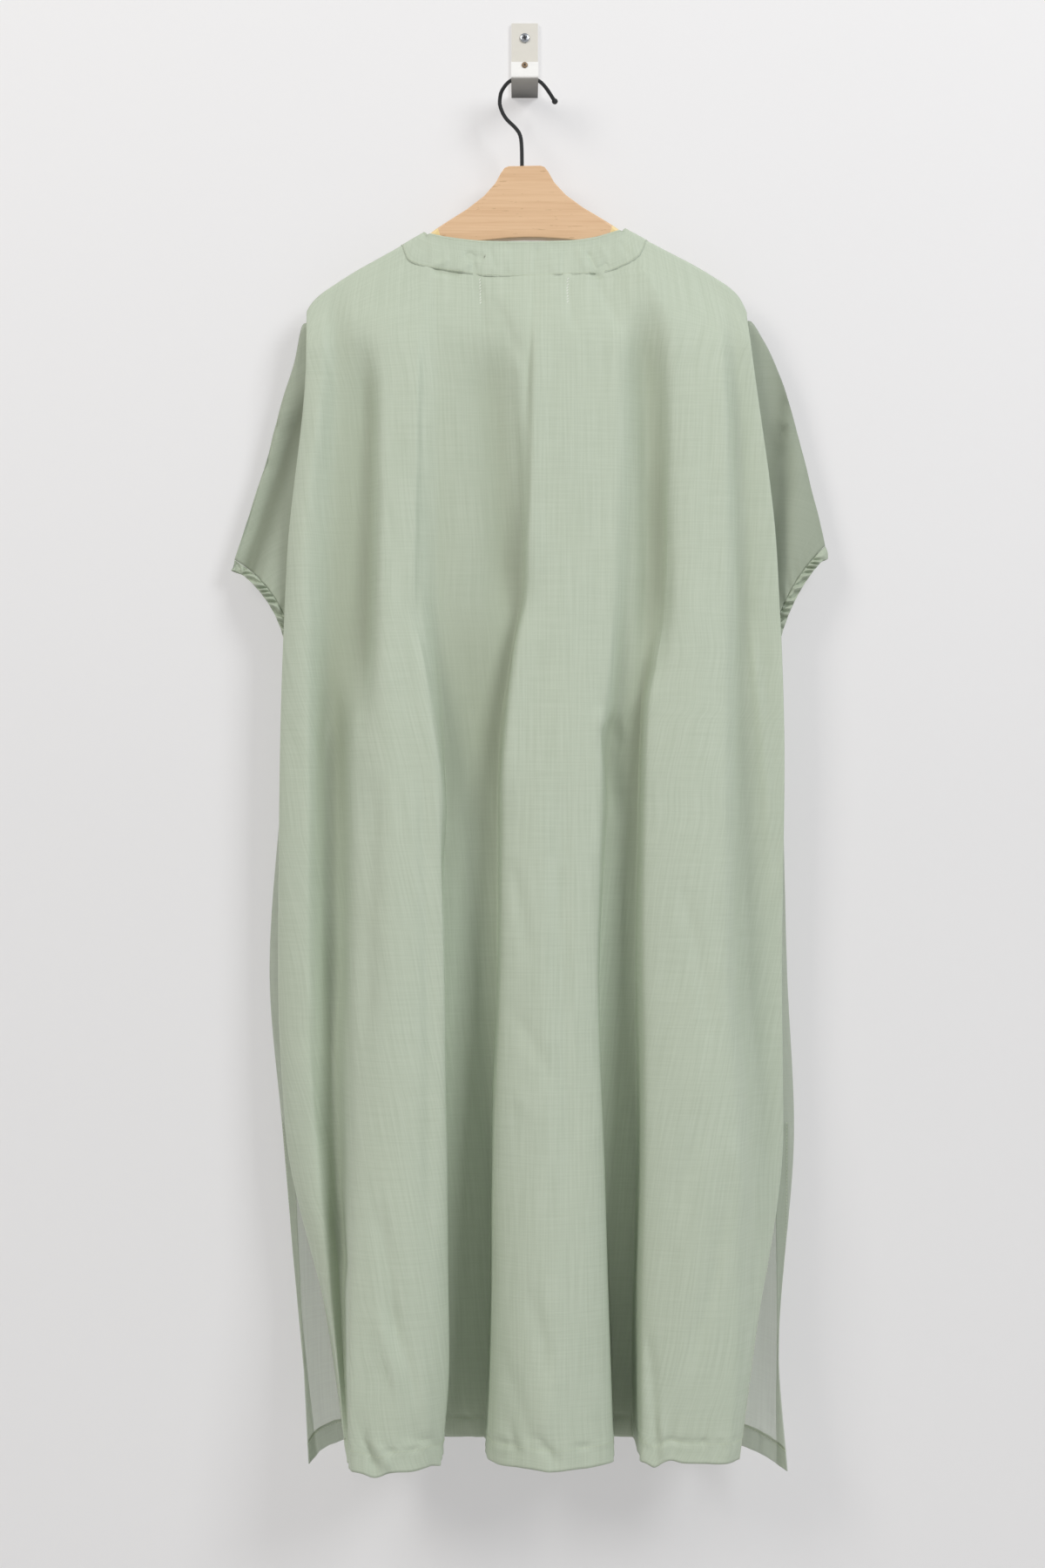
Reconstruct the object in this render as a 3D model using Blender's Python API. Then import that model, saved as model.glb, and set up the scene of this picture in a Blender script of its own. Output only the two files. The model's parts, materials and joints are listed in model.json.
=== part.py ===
"""Wide short-sleeved dress with side slits, hanging by its shoulders on a flat wooden hanger.

The hanger's wire hook lies in a bent flat bar that is screwed to a wall. Metres, +Z up. The wall is the
plane y = 0 and the room is on its -Y side, so a point's depth is its distance from the wall, -y. The back
of the dress faces the room. The origin is on the wall, behind the bar's upper screw.

The cloth pieces are walls of one thickness round a middle surface. A middle surface is read from a short
table with one row for each long fold: where the fold lies, and how deep, at seven heights.
"""

import math
from typing import NamedTuple

import bmesh
import bpy
import numpy as np

MM = 0.001

CLOTH = 1.5 * MM
BAND_CLOTH = 1.0 * MM
SEAM_GAP = 0.3 * MM
LIP_STEP = CLOTH + SEAM_GAP

HANGER_DEPTH = 35.0
HANGER_THICKNESS = 12.0
HANGER_TILT = 0.018
WOOD_CLEARANCE = 1.05
ROLL_RADIUS = HANGER_THICKNESS / 2 + WOOD_CLEARANCE
SHOULDER_TIP_LEFT = -207.0
SHOULDER_TIP_RIGHT = 211.0

NECK_END = 97.0
NECK_FLAT = 88.5
BAND_DROPS = (18.0, 31.0)
ROLL_LEAD = 1.6
ROLL_ROWS = 4
ROLL_ROW_DROP = 2.0

YOKE_Z = -311.6
SLIT_Z = -1046.4
HEM_Z = -1344.0
BODY_ROWS = 14
HEM_ROWS = 7
# The front is one cut of cloth. Its solid is parted at these heights.
FRONT_PARTED_AT = (-600.0, -980.0)
FRONT_PART_NAMES = ("dress_front_upper", "dress_front_middle", "dress_front_lower")
LIP_OPEN = 16.0
LIP_CLOSE_Z = -626.6
LIP_CLOSE_RUN = 105.0
SEAM_TOP_DROP = 19.0

CUFF_WIDTH = 6.0
CUFF_GATHERS = 17
CUFF_GATHER_CORNERS = 4
CUFF_WAVE = 1.5
CUFF_PULL = 0.6
CUFF_SLANT = 0.45
# Share of the cuff's width, swell of the gathers there.
CUFF_SECTION = ((0.0, 0.0), (0.5, 1.0), (1.0, 0.55))

WIRE_RADIUS = 1.85
WIRE_RINGS = 44
WIRE_SIDES = 10
# Run past the wire's end, swell of the wire's radius: the ball on its free end.
WIRE_BALL = ((0.0, 1.0), (0.35, 1.25), (1.3, 1.55), (2.9, 1.55), (4.1, 1.2), (4.8, 0.5))
BAR_WIDTH = 25.5
BAR_THICKNESS = 3.0
BAR_TOP = 14.3
BAR_REACH = 60.0
BAR_BEND_INSIDE = 1.5
BAR_BEND_OUTSIDE = 2.0
ARM_UNDERSIDE = -57.0
LIP_TOP = -41.8

# Height, radius, rise of the dome.
UPPER_SCREW = (0.0, 4.6, 1.8)
LOWER_SCREW = (-44.9, 2.8, 1.0)
SCREW_SIDES = 20
# Share of the rise, share of the radius.
SCREW_DOME = ((0.0, 1.0), (0.35, 1.0), (0.75, 0.86), (0.94, 0.6), (1.0, 0.25))

CLOTH_SMOOTH_ANGLE = 40
METAL_SMOOTH_ANGLE = 30
ROUND_SMOOTH_ANGLE = 35


class Fold(NamedTuple):
    """One long fold: across where it leaves the top edge, then (across, depth) at each height, in mm."""

    name: str
    steps: int
    top: float
    yoke: tuple
    chest: tuple
    waist: tuple
    hip: tuple
    slit: tuple
    knee: tuple
    hem: tuple

    def stations(self):
        return (self.yoke, self.chest, self.waist, self.hip, self.slit, self.knee, self.hem)


STATION_Z = (YOKE_Z, -508.9, -705.3, -900.7, SLIT_Z, -1253.6, HEM_Z)

BACK_FOLDS = (
    Fold(
        "seam left", 2, -201.5,
        (-186, 34), (-196, 32), (-223, 32), (-226, 29), (-222, 30), (-183, 50), (-169, 62),
    ),
    Fold(
        "edge left", 2, -207,
        (-207, 48), (-225, 49), (-232, 47), (-234, 44), (-227, 46), (-178, 70), (-165, 88),
    ),
    Fold(
        "side left", 2, -196,
        (-190, 51), (-206, 55), (-208, 52), (-206, 53), (-197, 58), (-170, 98), (-161, 118),
    ),
    Fold(
        "ridge 1 left", 3, -165,
        (-167, 54), (-159, 62), (-157, 72), (-157, 84), (-156, 100), (-161, 126), (-158, 140),
    ),
    Fold(
        "ridge 1", 5, -128,
        (-133, 58), (-133, 68), (-120, 80), (-115, 94), (-116, 110), (-117, 136), (-128, 147),
    ),
    Fold(
        "ridge 1 right", 3, -97,
        (-102, 60), (-99, 66), (-81, 74), (-75, 82), (-73, 90), (-72, 104), (-82, 118),
    ),
    Fold("valley 1", 3, -88.5, (-35, 60), (-27, 56), (-43, 48), (-52, 42), (-52, 38), (-52, 33), (-56, 31)),
    Fold("ridge 2 left", 3, -38, (0, 62), (3, 66), (-14, 70), (-23, 74), (-26, 80), (-28, 84), (-26, 90)),
    Fold("ridge 2", 3, 6, (39, 64), (39, 72), (26, 82), (20, 94), (20, 106), (22, 126), (19, 135)),
    Fold("ridge 2 right", 3, 50, (84, 62), (80, 66), (71, 72), (66, 76), (69, 84), (75, 98), (73, 108)),
    Fold("valley 2", 3, 88.5, (119, 60), (111, 56), (95, 50), (91, 42), (92, 38), (96, 34), (98, 32)),
    Fold(
        "ridge 3 left", 5, 97,
        (141, 62), (130, 64), (116, 70), (112, 74), (110, 82), (108, 94), (109, 106),
    ),
    Fold("ridge 3", 3, 128, (162, 60), (157, 70), (156, 80), (160, 90), (159, 102), (154, 112), (149, 116)),
    Fold(
        "ridge 3 right", 2, 172,
        (183, 56), (186, 62), (202, 70), (209, 76), (215, 86), (197, 104), (187, 112),
    ),
    Fold(
        "side right", 2, 200,
        (198, 52), (212, 55), (228, 53), (233, 53), (234, 60), (206, 94), (194, 108),
    ),
    Fold(
        "edge right", 2, 211,
        (215, 48), (239, 49), (246, 47), (244, 44), (245, 46), (212, 84), (198, 100),
    ),
    Fold("seam right", 0, 204, (195, 34), (212, 32), (237, 32), (236, 29), (239, 30), (214, 70), (200, 88)),
)

FRONT_FOLDS = (
    Fold(
        "seam left", 2, -201.5,
        (-186, 34), (-196, 32), (-223, 32), (-226, 29), (-222, 30), (-210, 50), (-203, 66),
    ),
    Fold(
        "edge left", 2, -207,
        (-206, 22), (-224, 20), (-232, 18), (-245, 18), (-233, 20), (-212, 42), (-199, 58),
    ),
    Fold(
        "flap left", 2, -192,
        (-190, 18), (-204, 14), (-210, 11), (-220, 10), (-212, 12), (-202, 30), (-192, 44),
    ),
    Fold(
        "wall ridge 1", 2, -160,
        (-155, 20), (-155, 11), (-152, 9), (-150, 8), (-150, 8), (-152, 12), (-156, 16),
    ),
    Fold(
        "wall valley 1", 5, -128,
        (-112, 24), (-104, 18), (-104, 19), (-104, 21), (-104, 22), (-104, 23), (-104, 24),
    ),
    Fold("wall ridge 2", 3, -97, (-86, 22), (-52, 12), (-48, 8), (-48, 7), (-48, 7), (-48, 7), (-48, 7)),
    Fold("wall valley 2", 3, -88.5, (-52, 23), (18, 19), (18, 20), (18, 22), (18, 23), (18, 24), (18, 25)),
    Fold("wall ridge 3", 3, 0, (18, 23), (88, 12), (92, 8), (92, 7), (92, 7), (92, 7), (92, 7)),
    Fold(
        "wall valley 3", 3, 88.5,
        (84, 23), (140, 17), (148, 18), (150, 20), (150, 21), (150, 24), (152, 28),
    ),
    Fold("wall ridge 4", 5, 97, (124, 21), (172, 13), (184, 10), (190, 9), (192, 10), (188, 20), (190, 34)),
    Fold("flap right", 4, 128, (166, 19), (205, 14), (222, 11), (232, 10), (238, 13), (224, 36), (225, 60)),
    Fold("edge right", 2, 211, (214, 22), (238, 20), (247, 18), (252, 18), (258, 24), (240, 52), (238, 70)),
    Fold(
        "seam right", 0, 204,
        (195, 34), (212, 32), (237, 32), (236, 29), (239, 30), (238.5, 62), (245, 80),
    ),
)

# How far each fold of the front hangs below the back's hem.
FRONT_HEM_DROPS = {
    "seam left": 15,
    "edge left": 12,
    "flap left": 8,
    "wall ridge 1": 5,
    "wall valley 1": 4,
    "wall ridge 2": 4,
    "wall valley 2": 4,
    "wall ridge 3": 4,
    "wall valley 3": 4,
    "wall ridge 4": 5,
    "flap right": 9,
    "edge right": 15,
    "seam right": 18,
}

# Across, height: the ridge of either shoulder before the hanger's tilt.
SHOULDER_LINE = (
    (0, -145), (80, -187), (97, -195.8), (120, -208.4), (140, -219.2), (160, -230), (180, -242.3),
    (195, -252.6), (203, -260.5), (208, -269), (212, -278),
)

# Across, height, depth: the back neckline.
BACK_NECKLINE = (
    (-97, -197.2, 43.6), (-89, -199.3, 43.8), (-75, -202.4, 44.2), (-60, -204.6, 44.6), (-39, -206.6, 45.2),
    (0, -207.3, 46.0), (42, -206.2, 45.2), (65, -203.2, 44.6), (80, -199.0, 44.2), (97, -193.6, 43.6),
)

# Across, height, depth: the front neckline, a plain scoop.
FRONT_NECKLINE = (
    (-97, -198.0, 26.4), (-89, -207.0, 26.2), (-72, -229.0, 25.8), (-40, -251.0, 25.4), (0, -259.0, 25.0),
    (40, -250.0, 25.4), (72, -227.0, 25.8), (89, -204.0, 26.2), (97, -194.6, 26.4),
)

# Across from the hanger's middle: top, bottom.
WOOD_PROFILE = (
    (0, -134.0, -202.3), (15, -134.0, -202.7), (19, -135.4, -203.0), (22.5, -140.0, -203.3),
    (28, -150.0, -203.7), (39, -162.1, -204.7), (55, -174.2, -206.6), (73, -185.2, -209.8),
    (84, -191.6, -213.0),
    (90, -195.4, -215.2), (96, -199.0, -217.6), (108, -203.8, -223.4), (120, -210.0, -230.0),
    (140, -220.8, -243.0),
    (160, -231.6, -256.0), (180, -244.0, -267.5), (191, -251.8, -271.5), (196, -257.0, -271.0),
    (198, -260.5, -268.0),
)
WOOD_ARM_START = 76.0
WOOD_ARM_FULL = 92.0
WOOD_EDGE = 1.4
WOOD_TIP_SHARE = 0.7
WOOD_CORNER_STEPS = 3
WOOD_LEAST_FLAT = 0.05

# Across, height: the upper edge of each sleeve, from the armhole to the cuff.
LEFT_SLEEVE_EDGE = (
    (-201.5, -289), (-209, -286), (-219, -320), (-232.5, -357), (-245, -404), (-257.5, -444),
    (-270, -482), (-277.5, -507),
)
RIGHT_SLEEVE_EDGE = (
    (204, -290), (214, -280), (229, -300), (249, -345), (261, -385), (273.5, -435), (282, -468),
    (287.5, -493.5),
)
LEFT_CUFF_CORNER = (-218, -598)
RIGHT_CUFF_CORNER = (233, -592)
LEFT_CUFF_BOW = 13.0
RIGHT_CUFF_BOW = 9.0
SLEEVE_DEPTH = 33.0
SLEEVE_HALF = 7.5
ARMHOLE_BOTTOM = -592.0
SLEEVE_FILL_RUN = 0.6

# Across, height: the long dark fold in the room side of each sleeve, from top to bottom.
LEFT_SLEEVE_FOLD = ((-212, -330), (-258, -515))
RIGHT_SLEEVE_FOLD = ((224, -345), (250, -540))
SLEEVE_FOLD_DEPTH = 7.0
SLEEVE_FOLD_WIDTH = 12.0
SLEEVE_FOLD_FADE = 3.0
SLEEVE_FOLD_LEAD = 4.0
SLEEVE_TOP_STEP = 4.0
SLEEVE_LONG_STEP = 30.0

# Across, height: the wire's middle line, from the wood to the ball.
WIRE_PATH = (
    (-2.6, -133.6), (-2.7, -122), (-3.2, -110), (-4.6, -102.8), (-8.4, -97.0), (-12.6, -92.8), (-16.6, -89.0),
    (-21.4, -81.4), (-23.9, -72.4), (-23.0, -64.4), (-19.6, -57.6), (-13.9, -51.8), (-7.2, -49.2),
    (0.2, -48.5),
    (7.4, -49.2), (13.9, -51.9), (19.4, -57.2), (23.8, -63.4), (27.6, -69.4),
)


def slopes(at, values):
    """Slopes of a curve through the values that never runs past them."""
    step = np.diff(at)
    secant = np.diff(values, axis=0) / step[:, None]
    found = np.zeros_like(values)
    left, right = secant[:-1], secant[1:]
    same_way = left * right > 0
    before, after = 2 * step[1:, None] + step[:-1, None], step[1:, None] + 2 * step[:-1, None]
    safe_left, safe_right = np.where(same_way, left, 1.0), np.where(same_way, right, 1.0)
    found[1:-1] = np.where(same_way, (before + after) / (before / safe_left + after / safe_right), 0.0)
    found[0], found[-1] = secant[0], secant[-1]
    return found


def smooth(at, values, wanted):
    """The smooth curve through the values, read at the wanted places."""
    at = np.asarray(at, float)
    values = np.asarray(values, float)
    flat = values.ndim == 1
    values = values[:, None] if flat else values
    slope = slopes(at, values)
    wanted = np.clip(np.asarray(wanted, float), at[0], at[-1])
    index = np.clip(np.searchsorted(at, wanted, side="right") - 1, 0, len(at) - 2)
    width = (at[index + 1] - at[index])[:, None]
    part = (wanted - at[index])[:, None] / width
    result = (
        (1 + 2 * part) * (1 - part) ** 2 * values[index]
        + part * (1 - part) ** 2 * width * slope[index]
        + part**2 * (3 - 2 * part) * values[index + 1]
        + part**2 * (part - 1) * width * slope[index + 1]
    )
    return result[:, 0] if flat else result


def read(table, column, place):
    """One column of a table at a place, by its first column."""
    rows = np.asarray(table, float)
    return float(smooth(rows[:, 0], rows[:, column], [place])[0])


def ease(value):
    value = min(max(value, 0.0), 1.0)
    return value * value * (3 - 2 * value)


def shoulder_z(across):
    return read(SHOULDER_LINE, 1, abs(across)) + HANGER_TILT * across


def lip_opening(height):
    """How far apart the two seam edges stand: the sleeve sits between them above the armpit."""
    return LIP_STEP / MM + (LIP_OPEN - LIP_STEP / MM) * ease((height - LIP_CLOSE_Z) / LIP_CLOSE_RUN)


def body_levels():
    return np.linspace(YOKE_Z, SLIT_Z, BODY_ROWS + 1)


class Panel:
    """A body panel: its middle surface as a grid, from the top edge down to the hem."""

    def __init__(self, folds, neckline, side, drops):
        self.folds = folds
        self.neckline = neckline
        self.side = side
        self.drops = drops
        self.steps = [fold.steps for fold in folds[:-1]]
        tops = [self.top_rows(fold.top, index) for index, fold in enumerate(folds)]
        self.columns = [self.column(fold, top) for fold, top in zip(folds, tops)]
        self.points = self.across_folds()
        self.normals = self.vertex_normals()

    def neck_share(self, across):
        return ease((NECK_END - abs(across)) / (NECK_END - NECK_FLAT))

    def top_rows(self, across, index):
        """Points of one column over the roll of the shoulder, or down from the neckline."""
        if index in (0, len(self.folds) - 1):
            tip = shoulder_z(SHOULDER_TIP_LEFT if across < 0 else SHOULDER_TIP_RIGHT)
            height = tip - SEAM_TOP_DROP
            depth = HANGER_DEPTH + self.side * LIP_OPEN / 2
            return [(across, depth, height - ROLL_ROW_DROP * row) for row in range(ROLL_ROWS)]
        share = self.neck_share(across)
        ridge = shoulder_z(across)
        height, depth = (read(self.neckline, column, across) for column in (1, 2))
        rows = []
        for row in range(ROLL_ROWS):
            part = row / (ROLL_ROWS - 1)
            turn = (part + (1 - part) * min(1.0, ROLL_LEAD * share)) * math.pi / 2
            roll_depth = HANGER_DEPTH + self.side * (SEAM_GAP / MM / 2 + ROLL_RADIUS * math.sin(turn))
            roll_height = ridge - ROLL_RADIUS * (1 - math.cos(turn) + part * share)
            flat_height = height - ROLL_RADIUS * part
            blend = share * share
            roll_place = np.array((roll_depth, roll_height))
            rows.append((across, *(roll_place + (np.array((depth, flat_height)) - roll_place) * blend)))
        return rows

    def column(self, fold, top):
        """All rows of one fold line, as across, depth and height."""
        start = top[-1]
        heights = [start[2], *STATION_Z[:-1], HEM_Z - self.drops.get(fold.name, 0)]
        seam = fold.name.startswith("seam")
        places = [start[:2]]
        for station, height in zip(fold.stations(), STATION_Z):
            across, depth = station
            if seam and height >= SLIT_Z - 1:
                depth += self.side * lip_opening(height) / 2
            places.append((across, depth))
        first = top[0][2]
        low = heights[-1]
        wanted = [
            max(first - BAND_DROPS[0], (start[2] * 2 + YOKE_Z) / 3),
            max(first - BAND_DROPS[1], (start[2] + YOKE_Z * 2) / 3),
            *body_levels(),
            *np.linspace(SLIT_Z, low, HEM_ROWS + 1)[1:],
        ]
        order = -np.asarray(heights)
        found = smooth(order, places, -np.asarray(wanted))
        if seam:
            found = self.seam_rows(fold, found, wanted, order, places)
        return np.array(top + [(x, d, z) for (x, d), z in zip(found, wanted)])

    def seam_rows(self, fold, found, wanted, order, places):
        """A seam edge follows one line for both panels down to the slit, and its own table below it."""
        shared = [*fold.stations()[:5]]
        middle = smooth(-np.asarray(STATION_Z[:5]), shared, -np.asarray(wanted))
        for row, height in enumerate(wanted):
            if YOKE_Z >= height >= SLIT_Z:
                found[row] = (middle[row][0], middle[row][1] + self.side * lip_opening(height) / 2)
        below = smooth(order[5:], places[5:], -np.asarray(wanted))
        for row, height in enumerate(wanted):
            if height < SLIT_Z:
                found[row] = below[row]
        return found

    def across_folds(self):
        """Rounds the surface between neighbouring fold lines."""
        lines = np.stack(self.columns)
        rows = []
        for row in range(lines.shape[1]):
            ring = lines[:, row]
            chord = np.concatenate([[0], np.cumsum(np.linalg.norm(np.diff(ring, axis=0), axis=1))])
            places = [
                chord[i] + (chord[i + 1] - chord[i]) * k / steps
                for i, steps in enumerate(self.steps)
                for k in range(steps)
            ]
            found = smooth(chord, ring, [*places, chord[-1]])
            if row < ROLL_ROWS:
                found = self.on_the_roll(found, row)
            elif row < ROLL_ROWS + len(BAND_DROPS):
                found = self.below_the_neckline(found, BAND_DROPS[row - ROLL_ROWS])
            rows.append(found)
        return np.array(rows)

    def below_the_neckline(self, found, drop):
        """Keeps the rows under the neckline parallel to it."""
        for point in found:
            share = self.neck_share(point[0])
            if share > 0:
                point[2] += (read(self.neckline, 1, point[0]) - drop - point[2]) * share
        return found

    def on_the_roll(self, found, row):
        """Puts the points between two fold lines back on the shoulder's roll or the neckline."""
        for index in range(self.steps[0] + 1, len(found) - self.steps[-1] - 1):
            found[index] = self.top_rows(found[index][0], 1)[row]
        return found

    def column_of(self, name):
        names = [fold.name for fold in self.folds]
        return sum(self.steps[: names.index(name)])

    def vertex_normals(self):
        """Outward directions, turned to face the room on the back and the wall on the front."""
        along = np.gradient(self.points, axis=0)
        over = np.gradient(self.points, axis=1)
        normal = np.cross(along, over)
        normal /= np.linalg.norm(normal, axis=2)[:, :, None]
        if np.mean(normal[:, :, 1]) * self.side < 0:
            normal = -normal
        for index, point in enumerate(self.points[0]):
            if abs(point[0]) > NECK_END - 0.5:
                tilt = (shoulder_z(point[0] + 1) - shoulder_z(point[0] - 1)) / 2
                normal[0, index] = np.array((-tilt, 0.0, 1.0)) / math.hypot(tilt, 1)
        for index in (0, -1):
            normal[0, index] = normal[ROLL_ROWS - 1, index]
        for row in range(ROLL_ROWS):
            for index, point in enumerate(self.points[row]):
                straight = self.neck_share(point[0])
                mixed = normal[row, index] * (1 - straight) + np.array((0, self.side, 0)) * straight
                normal[row, index] = mixed / np.linalg.norm(mixed)
        return normal


def world(points):
    """(across, depth, height) in mm to (x, y, z) in metres."""
    points = np.asarray(points, float)
    return np.stack([points[..., 0], -points[..., 1], points[..., 2]], axis=-1) * MM


def grid_triangles(rows, columns, wrap=False):
    """Two triangles for each cell, with the diagonals of the two halves mirrored."""
    found = []
    width = columns if wrap else columns - 1
    for row in range(rows - 1):
        for column in range(width):
            after = (column + 1) % columns
            a, b = row * columns + column, row * columns + after
            c, d = (row + 1) * columns + after, (row + 1) * columns + column
            if column < width / 2:
                found += [(a, b, c), (a, c, d)]
            else:
                found += [(a, b, d), (b, c, d)]
    return found


def material(name, colour, roughness, metallic=0.0):
    made = bpy.data.materials.new(name)
    made.use_nodes = True
    shader = made.node_tree.nodes["Principled BSDF"]
    shader.inputs["Base Color"].default_value = (*colour, 1.0)
    shader.inputs["Roughness"].default_value = roughness
    shader.inputs["Metallic"].default_value = metallic
    return made


def add_object(name, bm, finish, smooth_angle=None):
    bmesh.ops.recalc_face_normals(bm, faces=bm.faces)
    mesh = bpy.data.meshes.new(name)
    bm.to_mesh(mesh)
    bm.free()
    obj = bpy.data.objects.new(name, mesh)
    bpy.context.scene.collection.objects.link(obj)
    mesh.materials.append(finish)
    if smooth_angle is not None:
        mesh.shade_smooth()
        mesh.set_sharp_from_angle(angle=math.radians(smooth_angle))
    return obj


def wall(name, middle, outward, triangles, inner, outer, finish):
    """A closed wall round a patch of a middle surface, from inner to outer along the outward directions."""
    bm = bmesh.new()
    used = sorted({corner for triangle in triangles for corner in triangle})
    low = {i: bm.verts.new(middle[i] + outward[i] * inner) for i in used}
    high = {i: bm.verts.new(middle[i] + outward[i] * outer) for i in used}
    borders = {}
    for a, b, c in triangles:
        bm.faces.new((high[a], high[b], high[c]))
        bm.faces.new((low[c], low[b], low[a]))
        for edge in ((a, b), (b, c), (c, a)):
            borders[edge] = borders.get(edge, 0) + 1
    for a, b in borders:
        if (b, a) not in borders:
            bm.faces.new((high[b], high[a], low[a], low[b]))
    return add_object(name, bm, finish, CLOTH_SMOOTH_ANGLE)


def panel_object(name, points, normals, finish):
    rows, columns = points.shape[:2]
    middle = world(points).reshape(-1, 3)
    outward = (normals * (1, -1, 1)).reshape(-1, 3)
    triangles = grid_triangles(rows, columns)
    return wall(name, middle, outward, triangles, -CLOTH / 2, CLOTH / 2, finish)


def front_objects(panel, finish):
    """The front's wall as solids between the heights where it is parted, a seam gap from each other."""
    heights = panel.points[:, 0, 2]
    last = len(heights) - 1
    rows = [0, *(int(np.argmin(abs(heights - height))) for height in FRONT_PARTED_AT), last]
    for name, top, low in zip(FRONT_PART_NAMES, rows, rows[1:]):
        points = panel.points[top : low + 1].copy()
        if top > 0:
            points[0, :, 2] -= SEAM_GAP / MM / 2
        if low < last:
            points[-1, :, 2] += SEAM_GAP / MM / 2
        panel_object(name, points, panel.normals[top : low + 1], finish)


def neck_facing_object(name, panel, left, right, finish):
    """The band lies on the panel's outer face, from one shoulder seam round the neckline to the other."""
    columns = panel.points.shape[1]
    middle = world(panel.points).reshape(-1, 3)
    outward = (panel.normals * (1, -1, 1)).reshape(-1, 3)
    depth_rows = ROLL_ROWS + 1
    triangles = []
    for row in range(depth_rows):
        for column in range(left, right):
            a, b = row * columns + column, row * columns + column + 1
            c, d = (row + 1) * columns + column + 1, (row + 1) * columns + column
            from_left, from_right = column - left, right - 1 - column
            reach = min(from_left, from_right)
            if row < reach or reach >= depth_rows:
                in_left_half = column < (columns - 1) / 2
                triangles += [(a, b, c), (a, c, d)] if in_left_half else [(a, b, d), (b, c, d)]
            elif row == reach:
                triangles.append((a, b, c) if from_left < from_right else (a, b, d))
    start = CLOTH / 2 + SEAM_GAP
    return wall(name, middle, outward, triangles, start, start + BAND_CLOTH, finish)


def line_distance(place, line):
    """Distance from a line between two places, and how far along it the foot lies."""
    start, end = (np.asarray(point, float) for point in line)
    along = end - start
    part = float(np.dot(place - start, along) / np.dot(along, along))
    foot = start + along * part
    return float(np.linalg.norm(place - foot)), part


class Sleeve:
    """A flat hanging sleeve: rings from the armhole between the seam edges down to the cuff."""

    def __init__(self, back, edge, cuff_corner, bow, fold, seam_column):
        self.edge = np.asarray(edge, float)
        self.corner = np.asarray(cuff_corner, float)
        self.bow = bow
        self.fold = fold
        self.seam = back.points[:, seam_column]
        self.openings = [lip_opening(height) for height in self.seam[:, 2]]
        self.heights = self.ring_heights()
        self.rings = np.array([self.ring(row) for row in range(len(self.edge))])
        self.normals = self.ring_normals()

    def ring_heights(self):
        """Heights of the armhole ring's points: the seam edge's own corners and the places midway."""
        top = self.edge[0][1]
        corners = [z for z in self.seam[:, 2] if ARMHOLE_BOTTOM < z < YOKE_Z + 1]
        chain = [top, top - SLEEVE_TOP_STEP, *corners, ARMHOLE_BOTTOM]
        found = chain[:2]
        for before, after in zip(chain[1:-1], chain[2:]):
            found += [(before + after) / 2, after] if before - after > SLEEVE_LONG_STEP else [after]
        return np.array(found)

    def armhole(self, height):
        """The seam edge's across at a height, read along its straight stretches."""
        return float(np.interp(-height, -self.seam[:, 2], self.seam[:, 0]))

    def ring(self, row):
        part = row / (len(self.edge) - 1)
        top = self.heights[0]
        shares = (top - self.heights) / (top - ARMHOLE_BOTTOM)
        lower = self.lower_edge(part)
        across_line = lower - self.edge[row]
        normal = np.array((-across_line[1], across_line[0])) / np.linalg.norm(across_line)
        normal *= -np.sign(normal[0] * self.edge[-1][0])
        back, front = [], []
        for height, share in zip(self.heights, shares):
            if row == 0:
                place = np.array((self.armhole(height), height))
            else:
                place = self.edge[row] + across_line * share
                place = place + normal * self.bow * part * 4 * share * (1 - share)
            middle, half = self.layers(height, share, part)
            dip = self.fold_dip(place, part)
            back.append((place[0], middle + half - dip, place[1]))
            front.append((place[0], middle - half, place[1]))
        return back + front[-2:0:-1]

    def lower_edge(self, part):
        start = np.array((self.armhole(ARMHOLE_BOTTOM), ARMHOLE_BOTTOM))
        return start + (self.corner - start) * part

    def layers(self, height, share, part):
        """Middle depth and half the space between the two layers, which meet at the upper and lower edges."""
        seam_depth = float(np.interp(-height, -self.seam[:, 2], self.seam[:, 1]))
        opening = float(np.interp(-height, -self.seam[:, 2], self.openings))
        opened = opening / 2 - LIP_STEP / MM
        filled = SLEEVE_HALF * math.sqrt(1 - abs(2 * share - 1) ** 2)
        filling = ease(part / SLEEVE_FILL_RUN)
        middle = seam_depth - opening / 2
        half = 0.0 if share in (0.0, 1.0) else opened + (filled - opened) * filling
        return middle + (SLEEVE_DEPTH - middle) * filling, half

    def fold_dip(self, place, part):
        distance, along = line_distance(place, self.fold)
        fade = ease(along * SLEEVE_FOLD_FADE) * ease(part * SLEEVE_FOLD_LEAD)
        return SLEEVE_FOLD_DEPTH * fade * math.exp(-((distance / SLEEVE_FOLD_WIDTH) ** 2))

    def ring_normals(self):
        along = np.gradient(self.rings, axis=0)
        round_ring = np.roll(self.rings, -1, axis=1) - np.roll(self.rings, 1, axis=1)
        normal = np.cross(along, round_ring)
        normal /= np.linalg.norm(normal, axis=2)[:, :, None]
        quarter = self.rings.shape[1] // 4
        if normal[-1, quarter, 1] < 0:
            normal = -normal
        return normal


def sleeve_object(name, sleeve, finish):
    rows, columns = sleeve.rings.shape[:2]
    middle = world(sleeve.rings).reshape(-1, 3)
    outward = (sleeve.normals * (1, -1, 1)).reshape(-1, 3)
    triangles = grid_triangles(rows, columns, wrap=True)
    return wall(name, middle, outward, triangles, -CLOTH / 2, CLOTH / 2, finish)


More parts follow.
